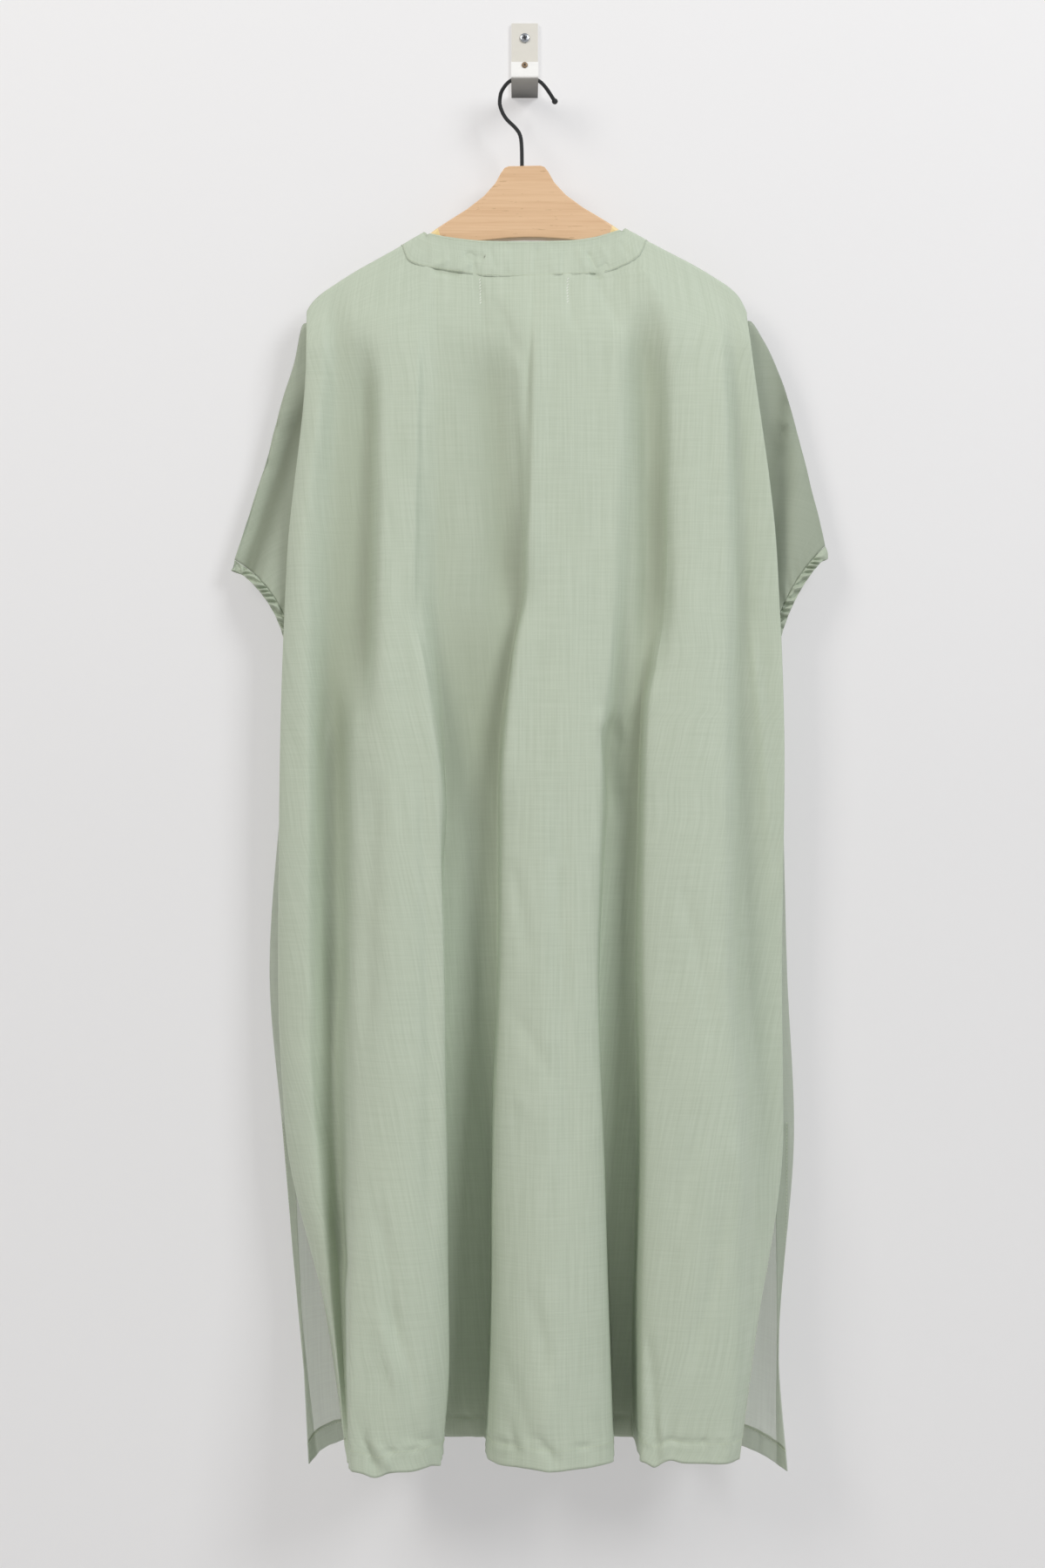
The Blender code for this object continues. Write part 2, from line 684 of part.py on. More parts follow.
def cuff_object(name, sleeve, finish):
    """A narrow casing that continues the sleeve's last ring and is drawn up into slanting gathers."""
    ring, normals = sleeve.rings[-1], sleeve.normals[-1]
    closed = np.vstack([ring, ring[:1]])
    lengths = np.concatenate([[0], np.cumsum(np.linalg.norm(np.diff(closed, axis=0), axis=1))])
    count = CUFF_GATHERS * CUFF_GATHER_CORNERS
    wanted = np.arange(count) / count * lengths[-1]
    places = np.stack([np.interp(wanted, lengths, closed[:, axis]) for axis in range(3)], axis=1)
    closed_normals = np.vstack([normals, normals[:1]])
    facing = np.stack([np.interp(wanted, lengths, closed_normals[:, axis]) for axis in range(3)], axis=1)
    facing /= np.linalg.norm(facing, axis=1)[:, None]
    away = cuff_direction(sleeve)
    rows, outward = [], []
    for share, swell in CUFF_SECTION:
        turn = 2 * math.pi * (np.arange(count) / CUFF_GATHER_CORNERS + share * CUFF_SLANT)
        wave = CUFF_WAVE * swell * np.sin(turn)
        pull = CUFF_PULL * swell * np.cos(turn)
        run = SEAM_GAP / MM + CUFF_WIDTH * share + pull
        rows.append(places + facing * wave[:, None] + away * run[:, None])
        outward.append(facing)
    middle = world(np.array(rows)).reshape(-1, 3)
    directions = (np.array(outward) * (1, -1, 1)).reshape(-1, 3)
    triangles = grid_triangles(len(rows), count, wrap=True)
    return wall(name, middle, directions, triangles, -CLOTH / 2, CLOTH / 2, finish)


def cuff_direction(sleeve):
    """Straight away from the sleeve, across its last ring."""
    line = sleeve.corner - sleeve.edge[-1]
    away = np.array((-line[1], 0.0, line[0])) / np.linalg.norm(line)
    return away * np.sign(away[0] * sleeve.edge[-1][0])


def loft(name, rings, finish, smooth_angle=ROUND_SMOOTH_ANGLE):
    """A closed solid through rings of points, with flat ends."""
    bm = bmesh.new()
    rows = [[bm.verts.new(point) for point in ring] for ring in rings]
    for before, after in zip(rows, rows[1:]):
        for i in range(len(before)):
            j = (i + 1) % len(before)
            bm.faces.new((before[i], before[j], after[j], after[i]))
    bm.faces.new(rows[0][::-1])
    bm.faces.new(rows[-1])
    return add_object(name, bm, finish, smooth_angle)


def rounded_section(across, top, bottom, half, radius):
    """A rounded upright rectangle of the hanger at one place across."""
    middle = (top + bottom) / 2
    radius = min(radius, half - WOOD_LEAST_FLAT, (top - bottom) / 2 - WOOD_LEAST_FLAT)
    found = []
    for quarter, (sign_depth, sign_height) in enumerate(((1, 1), (1, -1), (-1, -1), (-1, 1))):
        for step in range(WOOD_CORNER_STEPS + 1):
            turn = step / WOOD_CORNER_STEPS
            angle = math.pi / 2 * (turn if quarter % 2 == 0 else 1 - turn)
            depth = sign_depth * (half - radius + radius * math.sin(angle))
            height = sign_height * ((top - bottom) / 2 - radius + radius * math.cos(angle))
            found.append((across, HANGER_DEPTH + depth, middle + height))
    return world(found)


def hanger_wood(finish):
    """The flat wooden hanger, with arms whose edges are fully round."""
    rings = []
    half_profile = [row for row in WOOD_PROFILE if row[0] > 0]
    stations = [(-row[0], row[1], row[2]) for row in half_profile[::-1]] + list(WOOD_PROFILE)
    for across, top, bottom in stations:
        arm = ease((abs(across) - WOOD_ARM_START) / (WOOD_ARM_FULL - WOOD_ARM_START))
        half = HANGER_THICKNESS / 2 * (WOOD_TIP_SHARE if abs(across) == WOOD_PROFILE[-1][0] else 1.0)
        radius = WOOD_EDGE + (half - WOOD_EDGE) * arm
        tilt = HANGER_TILT * across
        rings.append(rounded_section(across, top + tilt, bottom + tilt, half, radius))
    return loft("hanger_wood", rings, finish)


def hanger_hook(finish):
    """The wire from the wood up over the bar, with a ball on its free end."""
    rough = np.asarray(WIRE_PATH, float)
    lengths = np.concatenate([[0], np.cumsum(np.linalg.norm(np.diff(rough, axis=0), axis=1))])
    wanted = np.linspace(0, lengths[-1], WIRE_RINGS)
    path = smooth(lengths, rough, wanted)
    direction = path[-1] - path[-2]
    direction /= np.linalg.norm(direction)
    places = [(*point, WIRE_RADIUS) for point in path[:-1]]
    places += [(*(path[-1] + direction * run), WIRE_RADIUS * swell) for run, swell in WIRE_BALL]
    places = np.asarray(places)
    tangents = np.gradient(places[:, :2], axis=0)
    tangents /= np.linalg.norm(tangents, axis=1)[:, None]
    rings = []
    for (across, height, radius), (along, up) in zip(places, tangents):
        ring = []
        for step in range(WIRE_SIDES):
            angle = 2 * math.pi * step / WIRE_SIDES
            side = radius * math.cos(angle)
            depth = HANGER_DEPTH + radius * math.sin(angle)
            ring.append((across - up * side, depth, height + along * side))
        rings.append(world(ring))
    return loft("hanger_hook", rings, finish)


def arc(centre, radius, start, end, steps=4):
    """Points of an arc, by its angles in degrees."""
    angles = [math.radians(start + (end - start) * i / steps) for i in range(steps + 1)]
    return [(centre[0] + radius * math.cos(a), centre[1] + radius * math.sin(a)) for a in angles]


def wall_bracket(finish):
    """A flat bar bent into a plate on the wall, an arm and an upturned lip."""
    inner, outer = BAR_BEND_INSIDE, BAR_BEND_OUTSIDE
    floor = ARM_UNDERSIDE + BAR_THICKNESS
    lip = BAR_REACH - BAR_THICKNESS
    outline = [(0, BAR_TOP), (0, ARM_UNDERSIDE)]
    outline += arc((BAR_REACH - outer, ARM_UNDERSIDE + outer), outer, -90, 0)
    outline += [(BAR_REACH, LIP_TOP), (lip, LIP_TOP)]
    outline += arc((lip - inner, floor + inner), inner, 0, -90)
    outline += arc((BAR_THICKNESS + inner, floor + inner), inner, -90, -180)
    outline += [(BAR_THICKNESS, BAR_TOP)]
    rings = [world([(side * BAR_WIDTH / 2, depth, height) for depth, height in outline]) for side in (-1, 1)]
    return loft("wall_bracket", rings, finish, METAL_SMOOTH_ANGLE)


def screw_head(name, place, face_depth, finish):
    """A low domed head with its flat back on the metal."""
    height, radius, rise = place
    angles = [2 * math.pi * step / SCREW_SIDES for step in range(SCREW_SIDES)]
    rings = []
    for share, size in SCREW_DOME:
        depth = face_depth + SEAM_GAP / MM + rise * share
        reach = radius * size
        rings.append(world([(reach * math.cos(a), depth, height + reach * math.sin(a)) for a in angles]))
    return loft(name, rings, finish, METAL_SMOOTH_ANGLE)


def clear_scene():
    for obj in list(bpy.data.objects):
        bpy.data.objects.remove(obj, do_unlink=True)


def main():
    clear_scene()
    cloth = material("sage_cloth", (0.42, 0.49, 0.38), 0.62)
    band_cloth = material("sage_cloth_band", (0.44, 0.51, 0.40), 0.62)
    beech = material("pale_beech", (0.74, 0.49, 0.26), 0.5)
    black_wire = material("black_wire", (0.035, 0.038, 0.04), 0.4, 0.6)
    aluminium = material("bare_aluminium", (0.72, 0.7, 0.66), 0.42, 0.9)
    zinc = material("zinc_screw", (0.6, 0.62, 0.65), 0.3, 1.0)
    brown = material("brown_screw", (0.32, 0.22, 0.14), 0.55, 0.5)

    back = Panel(BACK_FOLDS, BACK_NECKLINE, 1, {})
    front = Panel(FRONT_FOLDS, FRONT_NECKLINE, -1, FRONT_HEM_DROPS)
    panel_object("dress_back", back.points, back.normals, cloth)
    front_objects(front, cloth)
    back_ends = [back.column_of(name) for name in ("ridge 1", "ridge 3")]
    front_ends = [front.column_of(name) for name in ("wall valley 1", "flap right")]
    neck_facing_object("neck_facing_back", back, *back_ends, band_cloth)
    neck_facing_object("neck_facing_front", front, *front_ends, band_cloth)
    sides = (
        ("left", LEFT_SLEEVE_EDGE, LEFT_CUFF_CORNER, LEFT_CUFF_BOW, LEFT_SLEEVE_FOLD, 0),
        ("right", RIGHT_SLEEVE_EDGE, RIGHT_CUFF_CORNER, RIGHT_CUFF_BOW, RIGHT_SLEEVE_FOLD, -1),
    )
    for side, edge, corner, bow, fold, seam_column in sides:
        sleeve = Sleeve(back, edge, corner, bow, fold, seam_column)
        sleeve_object(f"sleeve_{side}", sleeve, cloth)
        cuff_object(f"cuff_{side}", sleeve, band_cloth)
    hanger_wood(beech)
    hanger_hook(black_wire)
    wall_bracket(aluminium)
    screw_head("bracket_screw_upper", UPPER_SCREW, BAR_THICKNESS, zinc)
    screw_head("bracket_screw_lower", LOWER_SCREW, BAR_REACH, brown)


main()
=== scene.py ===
"""Looks of a wide sage dress that hangs on a wooden hanger from a bent bar on a wall.

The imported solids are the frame. The soft pieces are built again here as thin cloth on the same fold tables,
with creases, seams, stitches and gathers. The wood, wire and bar keep their solids and get better finishes.
Metres, +Z up, the wall is the plane y = 0 and the room is on its -Y side. Tables are in millimetres, as
across (x), depth (distance from the wall, -y) and height (z).
"""

import json
import logging
import math
from dataclasses import dataclass, field
from enum import Enum
from typing import NamedTuple, Sequence

import bmesh
import bpy
import numpy as np
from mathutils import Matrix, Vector

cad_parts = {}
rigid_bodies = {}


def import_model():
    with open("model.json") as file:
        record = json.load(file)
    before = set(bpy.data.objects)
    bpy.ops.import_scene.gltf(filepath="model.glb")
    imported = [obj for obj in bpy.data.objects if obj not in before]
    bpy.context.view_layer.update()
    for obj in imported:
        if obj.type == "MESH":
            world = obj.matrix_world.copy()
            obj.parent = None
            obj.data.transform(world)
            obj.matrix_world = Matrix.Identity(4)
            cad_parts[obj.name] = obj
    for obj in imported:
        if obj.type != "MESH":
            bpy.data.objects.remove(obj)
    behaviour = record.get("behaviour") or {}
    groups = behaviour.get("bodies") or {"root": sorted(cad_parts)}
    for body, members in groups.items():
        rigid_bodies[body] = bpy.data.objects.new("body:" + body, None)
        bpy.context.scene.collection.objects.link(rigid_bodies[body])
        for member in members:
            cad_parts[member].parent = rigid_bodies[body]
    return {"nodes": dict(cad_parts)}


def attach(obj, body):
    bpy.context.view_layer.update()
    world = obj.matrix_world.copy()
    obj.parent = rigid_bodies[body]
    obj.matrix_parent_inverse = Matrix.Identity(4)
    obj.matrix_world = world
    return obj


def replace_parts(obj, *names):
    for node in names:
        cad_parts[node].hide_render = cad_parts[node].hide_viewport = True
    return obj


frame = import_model()

log = logging.getLogger("dress")

MM = 0.001
Pair = tuple[float, float]
Colour = tuple[float, float, float]
# Noise cells for each unit of the three coordinates, and octaves.
Grain = tuple[tuple[float, float, float], float]
Socket = bpy.types.NodeSocket
Value = Socket | float | Colour
Feeds = dict[str | int, Value]


# The form of the dress, in millimetres


class Fold(NamedTuple):
    """One long fold: across where it leaves the top edge, then (across, depth) at each station."""

    name: str
    steps: int
    top: float
    yoke: Pair
    chest: Pair
    waist: Pair
    hip: Pair
    slit: Pair
    knee: Pair
    hem: Pair
    drop: float = 0.0

    def stations(self) -> tuple[Pair, ...]:
        """The fold's (across, depth) from the yoke down to the hem."""
        return (self.yoke, self.chest, self.waist, self.hip, self.slit, self.knee, self.hem)


STATION_Z = (-311.6, -508.9, -705.3, -900.7, -1046.4, -1253.6, -1344.0)
YOKE_Z, SLIT_Z, HEM_Z = STATION_Z[0], STATION_Z[4], STATION_Z[-1]

BACK_FOLDS = (
    Fold("seam left", 2, -201.5, (-186, 34), (-196, 32), (-223, 32), (-226, 29), (-222, 30), (-183, 50), (-169, 62)),
    Fold("edge left", 2, -207, (-207, 48), (-225, 49), (-232, 47), (-234, 44), (-227, 46), (-178, 70), (-165, 88)),
    Fold("side left", 2, -196, (-192, 53), (-208, 60), (-206, 61), (-205, 62), (-198, 66), (-174, 92), (-163, 114)),
    Fold("valley 0", 2, -180, (-178, 48), (-182, 47), (-187, 42), (-185, 40), (-180, 46), (-169, 84), (-161, 118)),
    Fold("ridge 1 left", 2, -165, (-158, 55), (-156, 60), (-158, 70), (-158, 80), (-157, 97), (-160, 127), (-158, 140)),
    Fold("ridge 1", 4, -128, (-130, 61), (-130, 72), (-122, 86), (-117, 98), (-116, 113), (-117, 138), (-128, 147)),
    Fold("ridge 1 right", 3, -97, (-98, 61), (-101, 67), (-81, 77), (-74, 86), (-72, 94), (-70, 108), (-76, 118)),
    Fold("valley 1 left", 2, -88.5, (-78, 58), (-80, 56), (-76, 50), (-77, 43), (-76, 39), (-75, 34), (-80, 32)),
    Fold("valley 1 right", 2, -60, (-22, 58), (-5, 55), (-26, 46), (-27, 41), (-32, 37), (-35, 33), (-39, 31)),
    Fold("ridge 2 left", 3, -38, (4, 63), (5, 67), (-18, 73), (-23, 78), (-29, 83), (-32, 88), (-35, 93)),
    Fold("ridge 2", 3, 6, (39, 65), (39, 72), (26, 83), (21, 95), (20, 107), (22, 126), (19, 135)),
    Fold("ridge 2 right", 2, 50, (84, 63), (83, 67), (72, 75), (68, 80), (72, 88), (78, 100), (81, 109)),
    Fold("valley 2 left", 2, 78, (106, 58), (103, 56), (82, 50), (71, 44), (76, 39), (82, 35), (85, 33)),
    Fold("valley 2 right", 2, 88.5, (122, 58), (116, 56), (108, 47), (104, 42), (106, 38), (102, 34), (103, 32)),
    Fold("ridge 3 left", 4, 97, (141, 62), (130, 65), (114, 72), (111, 78), (112, 87), (107.5, 98), (107.5, 108)),
    Fold("ridge 3", 3, 128, (162, 61), (157, 71), (156, 81), (160, 91), (159, 103), (154, 113), (149, 117)),
    Fold("ridge 3 right", 2, 172, (185, 58), (186, 66), (185, 76), (186, 86), (196, 95), (192, 107), (186, 114)),
    Fold("side right", 2, 200, (200, 49), (210, 49), (210, 49), (212, 47), (222, 57), (206, 94), (194, 108)),
    Fold("edge right", 2, 211, (215, 48), (239, 49), (246, 47), (244, 44), (245, 46), (212, 84), (198, 100)),
    Fold("seam right", 0, 204, (195, 34), (212, 32), (237, 32), (236, 29), (239, 30), (214, 70), (200, 88)),
)

FRONT_FOLDS = (
    Fold("seam left", 2, -201.5, (-186, 34), (-196, 32), (-223, 32), (-226, 29), (-222, 30), (-210, 50), (-203, 66), 15),
    Fold("edge left", 2, -207, (-206, 22), (-224, 20), (-232, 18), (-245, 18), (-233, 20), (-212, 42), (-199, 58), 12),
    Fold("flap left", 2, -192, (-190, 18), (-204, 14), (-210, 11), (-220, 10), (-212, 12), (-202, 30), (-192, 44), 8),
    Fold("wall ridge 1", 2, -160, (-155, 20), (-155, 11), (-152, 9), (-150, 8), (-150, 8), (-152, 12), (-156, 16), 5),
    Fold("wall valley 1", 5, -128, (-112, 24), (-104, 18), (-104, 19), (-104, 21), (-104, 22), (-104, 23), (-104, 24), 4),
    Fold("wall ridge 2", 3, -97, (-86, 22), (-52, 12), (-48, 8), (-48, 7), (-48, 7), (-48, 7), (-48, 7), 4),
    Fold("wall valley 2", 3, -88.5, (-52, 23), (18, 19), (18, 20), (18, 22), (18, 23), (18, 24), (18, 25), 4),
    Fold("wall ridge 3", 3, 0, (18, 23), (88, 12), (92, 8), (92, 7), (92, 7), (92, 7), (92, 7), 4),
    Fold("wall valley 3", 3, 88.5, (84, 23), (140, 17), (148, 18), (150, 20), (150, 21), (150, 24), (152, 28), 4),
    Fold("wall ridge 4", 5, 97, (124, 21), (172, 13), (184, 10), (190, 9), (192, 10), (188, 20), (190, 34), 5),
    Fold("flap right", 4, 128, (166, 19), (205, 14), (222, 11), (232, 10), (238, 13), (224, 36), (225, 60), 9),
    Fold("edge right", 2, 211, (214, 22), (238, 20), (247, 18), (252, 18), (258, 24), (240, 52), (238, 70), 15),
    Fold("seam right", 0, 204, (195, 34), (212, 32), (237, 32), (236, 29), (239, 30), (238.5, 62), (245, 80), 18),
)

# Across, height: the ridge of either shoulder before the hanger's tilt.
SHOULDER_LINE = (
    (0, -145), (80, -187), (97, -195.8), (120, -208.4), (140, -219.2), (160, -230), (180, -242.3),
    (195, -252.6), (203, -260.5), (208, -269), (212, -278),
)

# Across, height, depth: the back neckline.
BACK_NECKLINE = (
    (-97, -197.2, 43.6), (-89, -199.3, 43.8), (-75, -202.4, 44.2), (-60, -204.6, 44.6), (-39, -206.6, 45.2),
    (0, -207.3, 46.0), (42, -206.2, 45.2), (65, -203.2, 44.6), (80, -199.0, 44.2), (97, -193.6, 43.6),
)

# Across, height, depth: the front neckline, a plain scoop.
FRONT_NECKLINE = (
    (-97, -198.0, 26.4), (-89, -207.0, 26.2), (-72, -229.0, 25.8), (-40, -251.0, 25.4), (0, -259.0, 25.0),
    (40, -250.0, 25.4), (72, -227.0, 25.8), (89, -204.0, 26.2), (97, -194.6, 26.4),
)

# Across, height: the upper edge of each sleeve, from the armhole to the cuff.
LEFT_SLEEVE_EDGE = (
    (-203, -281), (-211, -283), (-220, -319), (-232.5, -357), (-245, -404), (-257.5, -444), (-270, -482),
    (-277.5, -507),
)
RIGHT_SLEEVE_EDGE = (
    (204, -290), (214, -280), (229, -300), (249, -345), (261, -385), (273.5, -435), (282, -468),
    (287.5, -493.5),
)
LEFT_CUFF_CORNER = (-218.0, -598.0)
RIGHT_CUFF_CORNER = (233.0, -592.0)
ARMHOLE_BOTTOM = -592.0
SLEEVE_DEPTH = 33.0
SLEEVE_HALF = 7.5
SLEEVE_FILL_RUN = 0.6
SLEEVE_TILT = 9.0

HANGER_DEPTH = 35.0
HANGER_TILT = 0.018
ROLL_RADIUS = 7.05
ROLL_LEAD = 1.6
SEAM_GAP = 0.3
TIP_LEFT, TIP_RIGHT = -207.0, 211.0
SEAM_TOP_DROP = 19.0
NECK_END, NECK_FLAT = 97.0, 88.5
LIP_STEP = 1.8
LIP_OPEN = 16.0
LIP_CLOSE_Z = -626.6
LIP_CLOSE_RUN = 105.0
FIND_STEPS = 5


# Curves and noise


def slopes(at: np.ndarray, values: np.ndarray) -> np.ndarray:
    """Slopes of a curve through the values that never runs past them.

    Args:
        at: rising places.
        values: one row of values for each place.
    Returns:
        One row of slopes for each place.
    """
    step = np.diff(at)
    secant = np.diff(values, axis=0) / step[:, None]
    found = np.zeros_like(values)
    left, right = secant[:-1], secant[1:]
    same_way = left * right > 0
    before, after = 2 * step[1:, None] + step[:-1, None], step[1:, None] + 2 * step[:-1, None]
    safe_left, safe_right = np.where(same_way, left, 1.0), np.where(same_way, right, 1.0)
    found[1:-1] = np.where(same_way, (before + after) / (before / safe_left + after / safe_right), 0.0)
    found[0], found[-1] = secant[0], secant[-1]
    return found


def smooth(at: Sequence, values: Sequence, wanted: Sequence) -> np.ndarray:
    """The smooth curve through the values, read at the wanted places.

    Args:
        at: rising places.
        values: a value, or a row of values, for each place.
        wanted: the places to read.
    Returns:
        A value, or a row of values, for each wanted place.
    """
    at = np.asarray(at, float)
    values = np.asarray(values, float)
    flat = values.ndim == 1
    values = values[:, None] if flat else values
    slope = slopes(at, values)
    wanted = np.clip(np.asarray(wanted, float), at[0], at[-1])
    index = np.clip(np.searchsorted(at, wanted, side="right") - 1, 0, len(at) - 2)
    width = (at[index + 1] - at[index])[:, None]
    part = (wanted - at[index])[:, None] / width
    result = (
        (1 + 2 * part) * (1 - part) ** 2 * values[index]
        + part * (1 - part) ** 2 * width * slope[index]
        + part**2 * (3 - 2 * part) * values[index + 1]
        + part**2 * (part - 1) * width * slope[index + 1]
    )
    return result[:, 0] if flat else result


def read(table: Sequence, column: int, places: Sequence) -> np.ndarray:
    """One column of a table, read smoothly at places along its first column."""
    rows = np.asarray(table, float)
    return smooth(rows[:, 0], rows[:, column], np.atleast_1d(places))


def ease(value: np.ndarray | float) -> np.ndarray:
    """A share, clipped to 0 and 1, with a soft start and end."""
    value = np.clip(value, 0.0, 1.0)
    return value * value * (3 - 2 * value)


def unit(vectors: np.ndarray) -> np.ndarray:
    """Directions of any length, in the last axis, made one long."""
    return vectors / np.maximum(np.linalg.norm(vectors, axis=-1, keepdims=True), 1e-9)


# Size of the table of random values, and a shift that keeps its places above 0.
NOISE_TABLE = (97, 89)
NOISE_SHIFT = 1000.0


def lattice_noise(first: np.ndarray, second: np.ndarray, cell: Pair, seed: int) -> np.ndarray:
    """Smooth noise from -1 to 1 with a fixed seed.

    Args:
        first: one coordinate of each place.
        second: the other coordinate.
        cell: the noise's cell along each coordinate.
        seed: the fixed seed.
    Returns:
        A value for each place.
    """
    table = np.random.default_rng(seed).uniform(-1, 1, NOISE_TABLE)
    a, b = first / cell[0] + NOISE_SHIFT, second / cell[1] + NOISE_SHIFT
    i, j = np.floor(a).astype(int), np.floor(b).astype(int)
    s, t = ease(a - i), ease(b - j)
    rows, columns = table.shape

    def corner(di: int, dj: int) -> np.ndarray:
        """The values at one corner of each place's cell."""
        return table[(i + di) % rows, (j + dj) % columns]

    low = corner(0, 0) * (1 - s) + corner(1, 0) * s
    high = corner(0, 1) * (1 - s) + corner(1, 1) * s
    return low * (1 - t) + high * t


def uneven(chart: np.ndarray, hand: Sequence, seed: int) -> np.ndarray:
    """Args:
        chart: how far across and down the cloth each place lies.
        hand: rows of a noise's cell and its height.
        seed: the first row's fixed seed.
    Returns:
        The cloth's uneven height at each place.
    """
    return sum(
        height * lattice_noise(chart[..., 0], chart[..., 1], cell, seed + row)
        for row, (cell, height) in enumerate(hand)
    )


def shoulder_z(across: np.ndarray | float) -> np.ndarray:
    """The height of the shoulder's ridge at places across the hanger."""
    return read(SHOULDER_LINE, 1, np.abs(across)) + HANGER_TILT * np.atleast_1d(across)


def lip_opening(height: np.ndarray | float) -> np.ndarray:
    """How far apart the side seam's edges stand: above the armpit the sleeve lies between them."""
    return LIP_STEP + (LIP_OPEN - LIP_STEP) * ease((np.asarray(height) - LIP_CLOSE_Z) / LIP_CLOSE_RUN)


# Cloth surfaces


class Crease(NamedTuple):
    """A soft trough (minus) or ridge (plus) of the cloth, from a start to an end on the face."""

    x0: float
    z0: float
    x1: float
    z1: float
    rise: float
    width: float
    bow: float = 0.0
    skew: float = 0.0


class Side(Enum):
    """Which way a panel faces: the room or the wall."""

    ROOM = 1
    WALL = -1


@dataclass
class Surface:
    """A grid of points on the middle of a cloth, with outward directions and a cloth map."""

    points: np.ndarray
    normals: np.ndarray
    wrap: bool = False

    def cloth_map(self) -> np.ndarray:
        """Returns:
            For each point, how far it lies across and down the cloth, in millimetres.
        """
        across = np.linalg.norm(np.diff(self.points, axis=1), axis=2)
        across = np.concatenate([np.zeros((len(across), 1)), np.cumsum(across, axis=1)], axis=1)
        middle = across.shape[1] // 2
        across += self.points[:, [middle], 0] - across[:, [middle]]
        down = np.linalg.norm(np.diff(self.points, axis=0), axis=2).mean(axis=1)
        down = np.concatenate([[0.0], np.cumsum(down)])
        return np.stack([across, np.broadcast_to(-down[:, None], across.shape)], axis=-1)

    def area(self) -> float:
        """Returns:
            The surface's area in square metres.
        """
        p = self.points
        if self.wrap:
            p = np.concatenate([p, p[:, :1]], axis=1)
        cross = np.cross(p[1:, 1:] - p[:-1, :-1], p[1:, :-1] - p[:-1, 1:])
        return float(np.linalg.norm(cross, axis=2).sum() / 2) * MM * MM

    def moved(self, distance: np.ndarray | float) -> "Surface":
        """The surface moved outward by a distance for each point, with the same directions."""
        distance = np.broadcast_to(distance, self.points.shape[:-1])
        return Surface(self.points + self.normals * distance[..., None], self.normals, self.wrap)

    def find(self, across: np.ndarray, height: np.ndarray) -> tuple[np.ndarray, np.ndarray]:
        """Args:
            across: places across.
            height: their heights.
        Returns:
            The fractional row and column of the surface at each place.
        """
        x, z = self.points[..., 0], self.points[..., 2]
        rows = np.zeros(np.shape(across))
        columns = np.zeros(np.shape(across))
        row_numbers, column_numbers = np.arange(x.shape[0]), np.arange(x.shape[1])
        for place in np.ndindex(rows.shape):
            row = 0.0
            for _ in range(FIND_STEPS):
                column = np.interp(across[place], x[int(round(row))], column_numbers)
                row = np.interp(-height[place], -z[:, int(round(column))], row_numbers)
            rows[place], columns[place] = row, column
        return rows, columns

    def sample(self, rows: np.ndarray, columns: np.ndarray) -> "Surface":
        """Args:
            rows: fractional row of each wanted point.
            columns: fractional column of each wanted point.
        Returns:
            The surface read at those places.
        """
        rows = np.clip(rows, 0, self.points.shape[0] - 1.001)
        columns = np.clip(columns, 0, self.points.shape[1] - 1.001)
        i, j = np.floor(rows).astype(int), np.floor(columns).astype(int)
        s, t = (rows - i)[..., None], (columns - j)[..., None]

        def mix(grid: np.ndarray) -> np.ndarray:
            """The grid's values between its points."""
            upper = grid[i, j] * (1 - t) + grid[i, j + 1] * t
            lower = grid[i + 1, j] * (1 - t) + grid[i + 1, j + 1] * t
            return upper * (1 - s) + lower * s

        return Surface(mix(self.points), unit(mix(self.normals)))


def hollows(points: np.ndarray, reach: int, depth: float) -> np.ndarray:
    """Args:
        points: a panel's grid of points.
        reach: how many columns to either side count as a place's surroundings.
        depth: the depth of a full fold valley, in millimetres.
    Returns:
        How far each point lies down in a fold's valley, from 0 to 1, which the cloth's painted shade follows.
    """
    out = points[..., 1]
    padded = np.pad(out, ((0, 0), (reach, reach)), mode="edge")
    total = np.cumsum(np.pad(padded, ((0, 0), (1, 0))), axis=1)
    width = 2 * reach + 1
    around = (total[:, width:] - total[:, :-width]) / width
    return np.clip((around - out) / depth, 0, 1)


def grid_normals(points: np.ndarray, wrap: bool = False) -> np.ndarray:
    """Args:
        points: a grid of points.
        wrap: whether the last column joins the first.
    Returns:
        A direction square to the grid at each point.
    """
    along = np.gradient(points, axis=0)
    if wrap:
        over = np.roll(points, -1, axis=1) - np.roll(points, 1, axis=1)
    else:
        over = np.gradient(points, axis=1)
    return unit(np.cross(along, over))


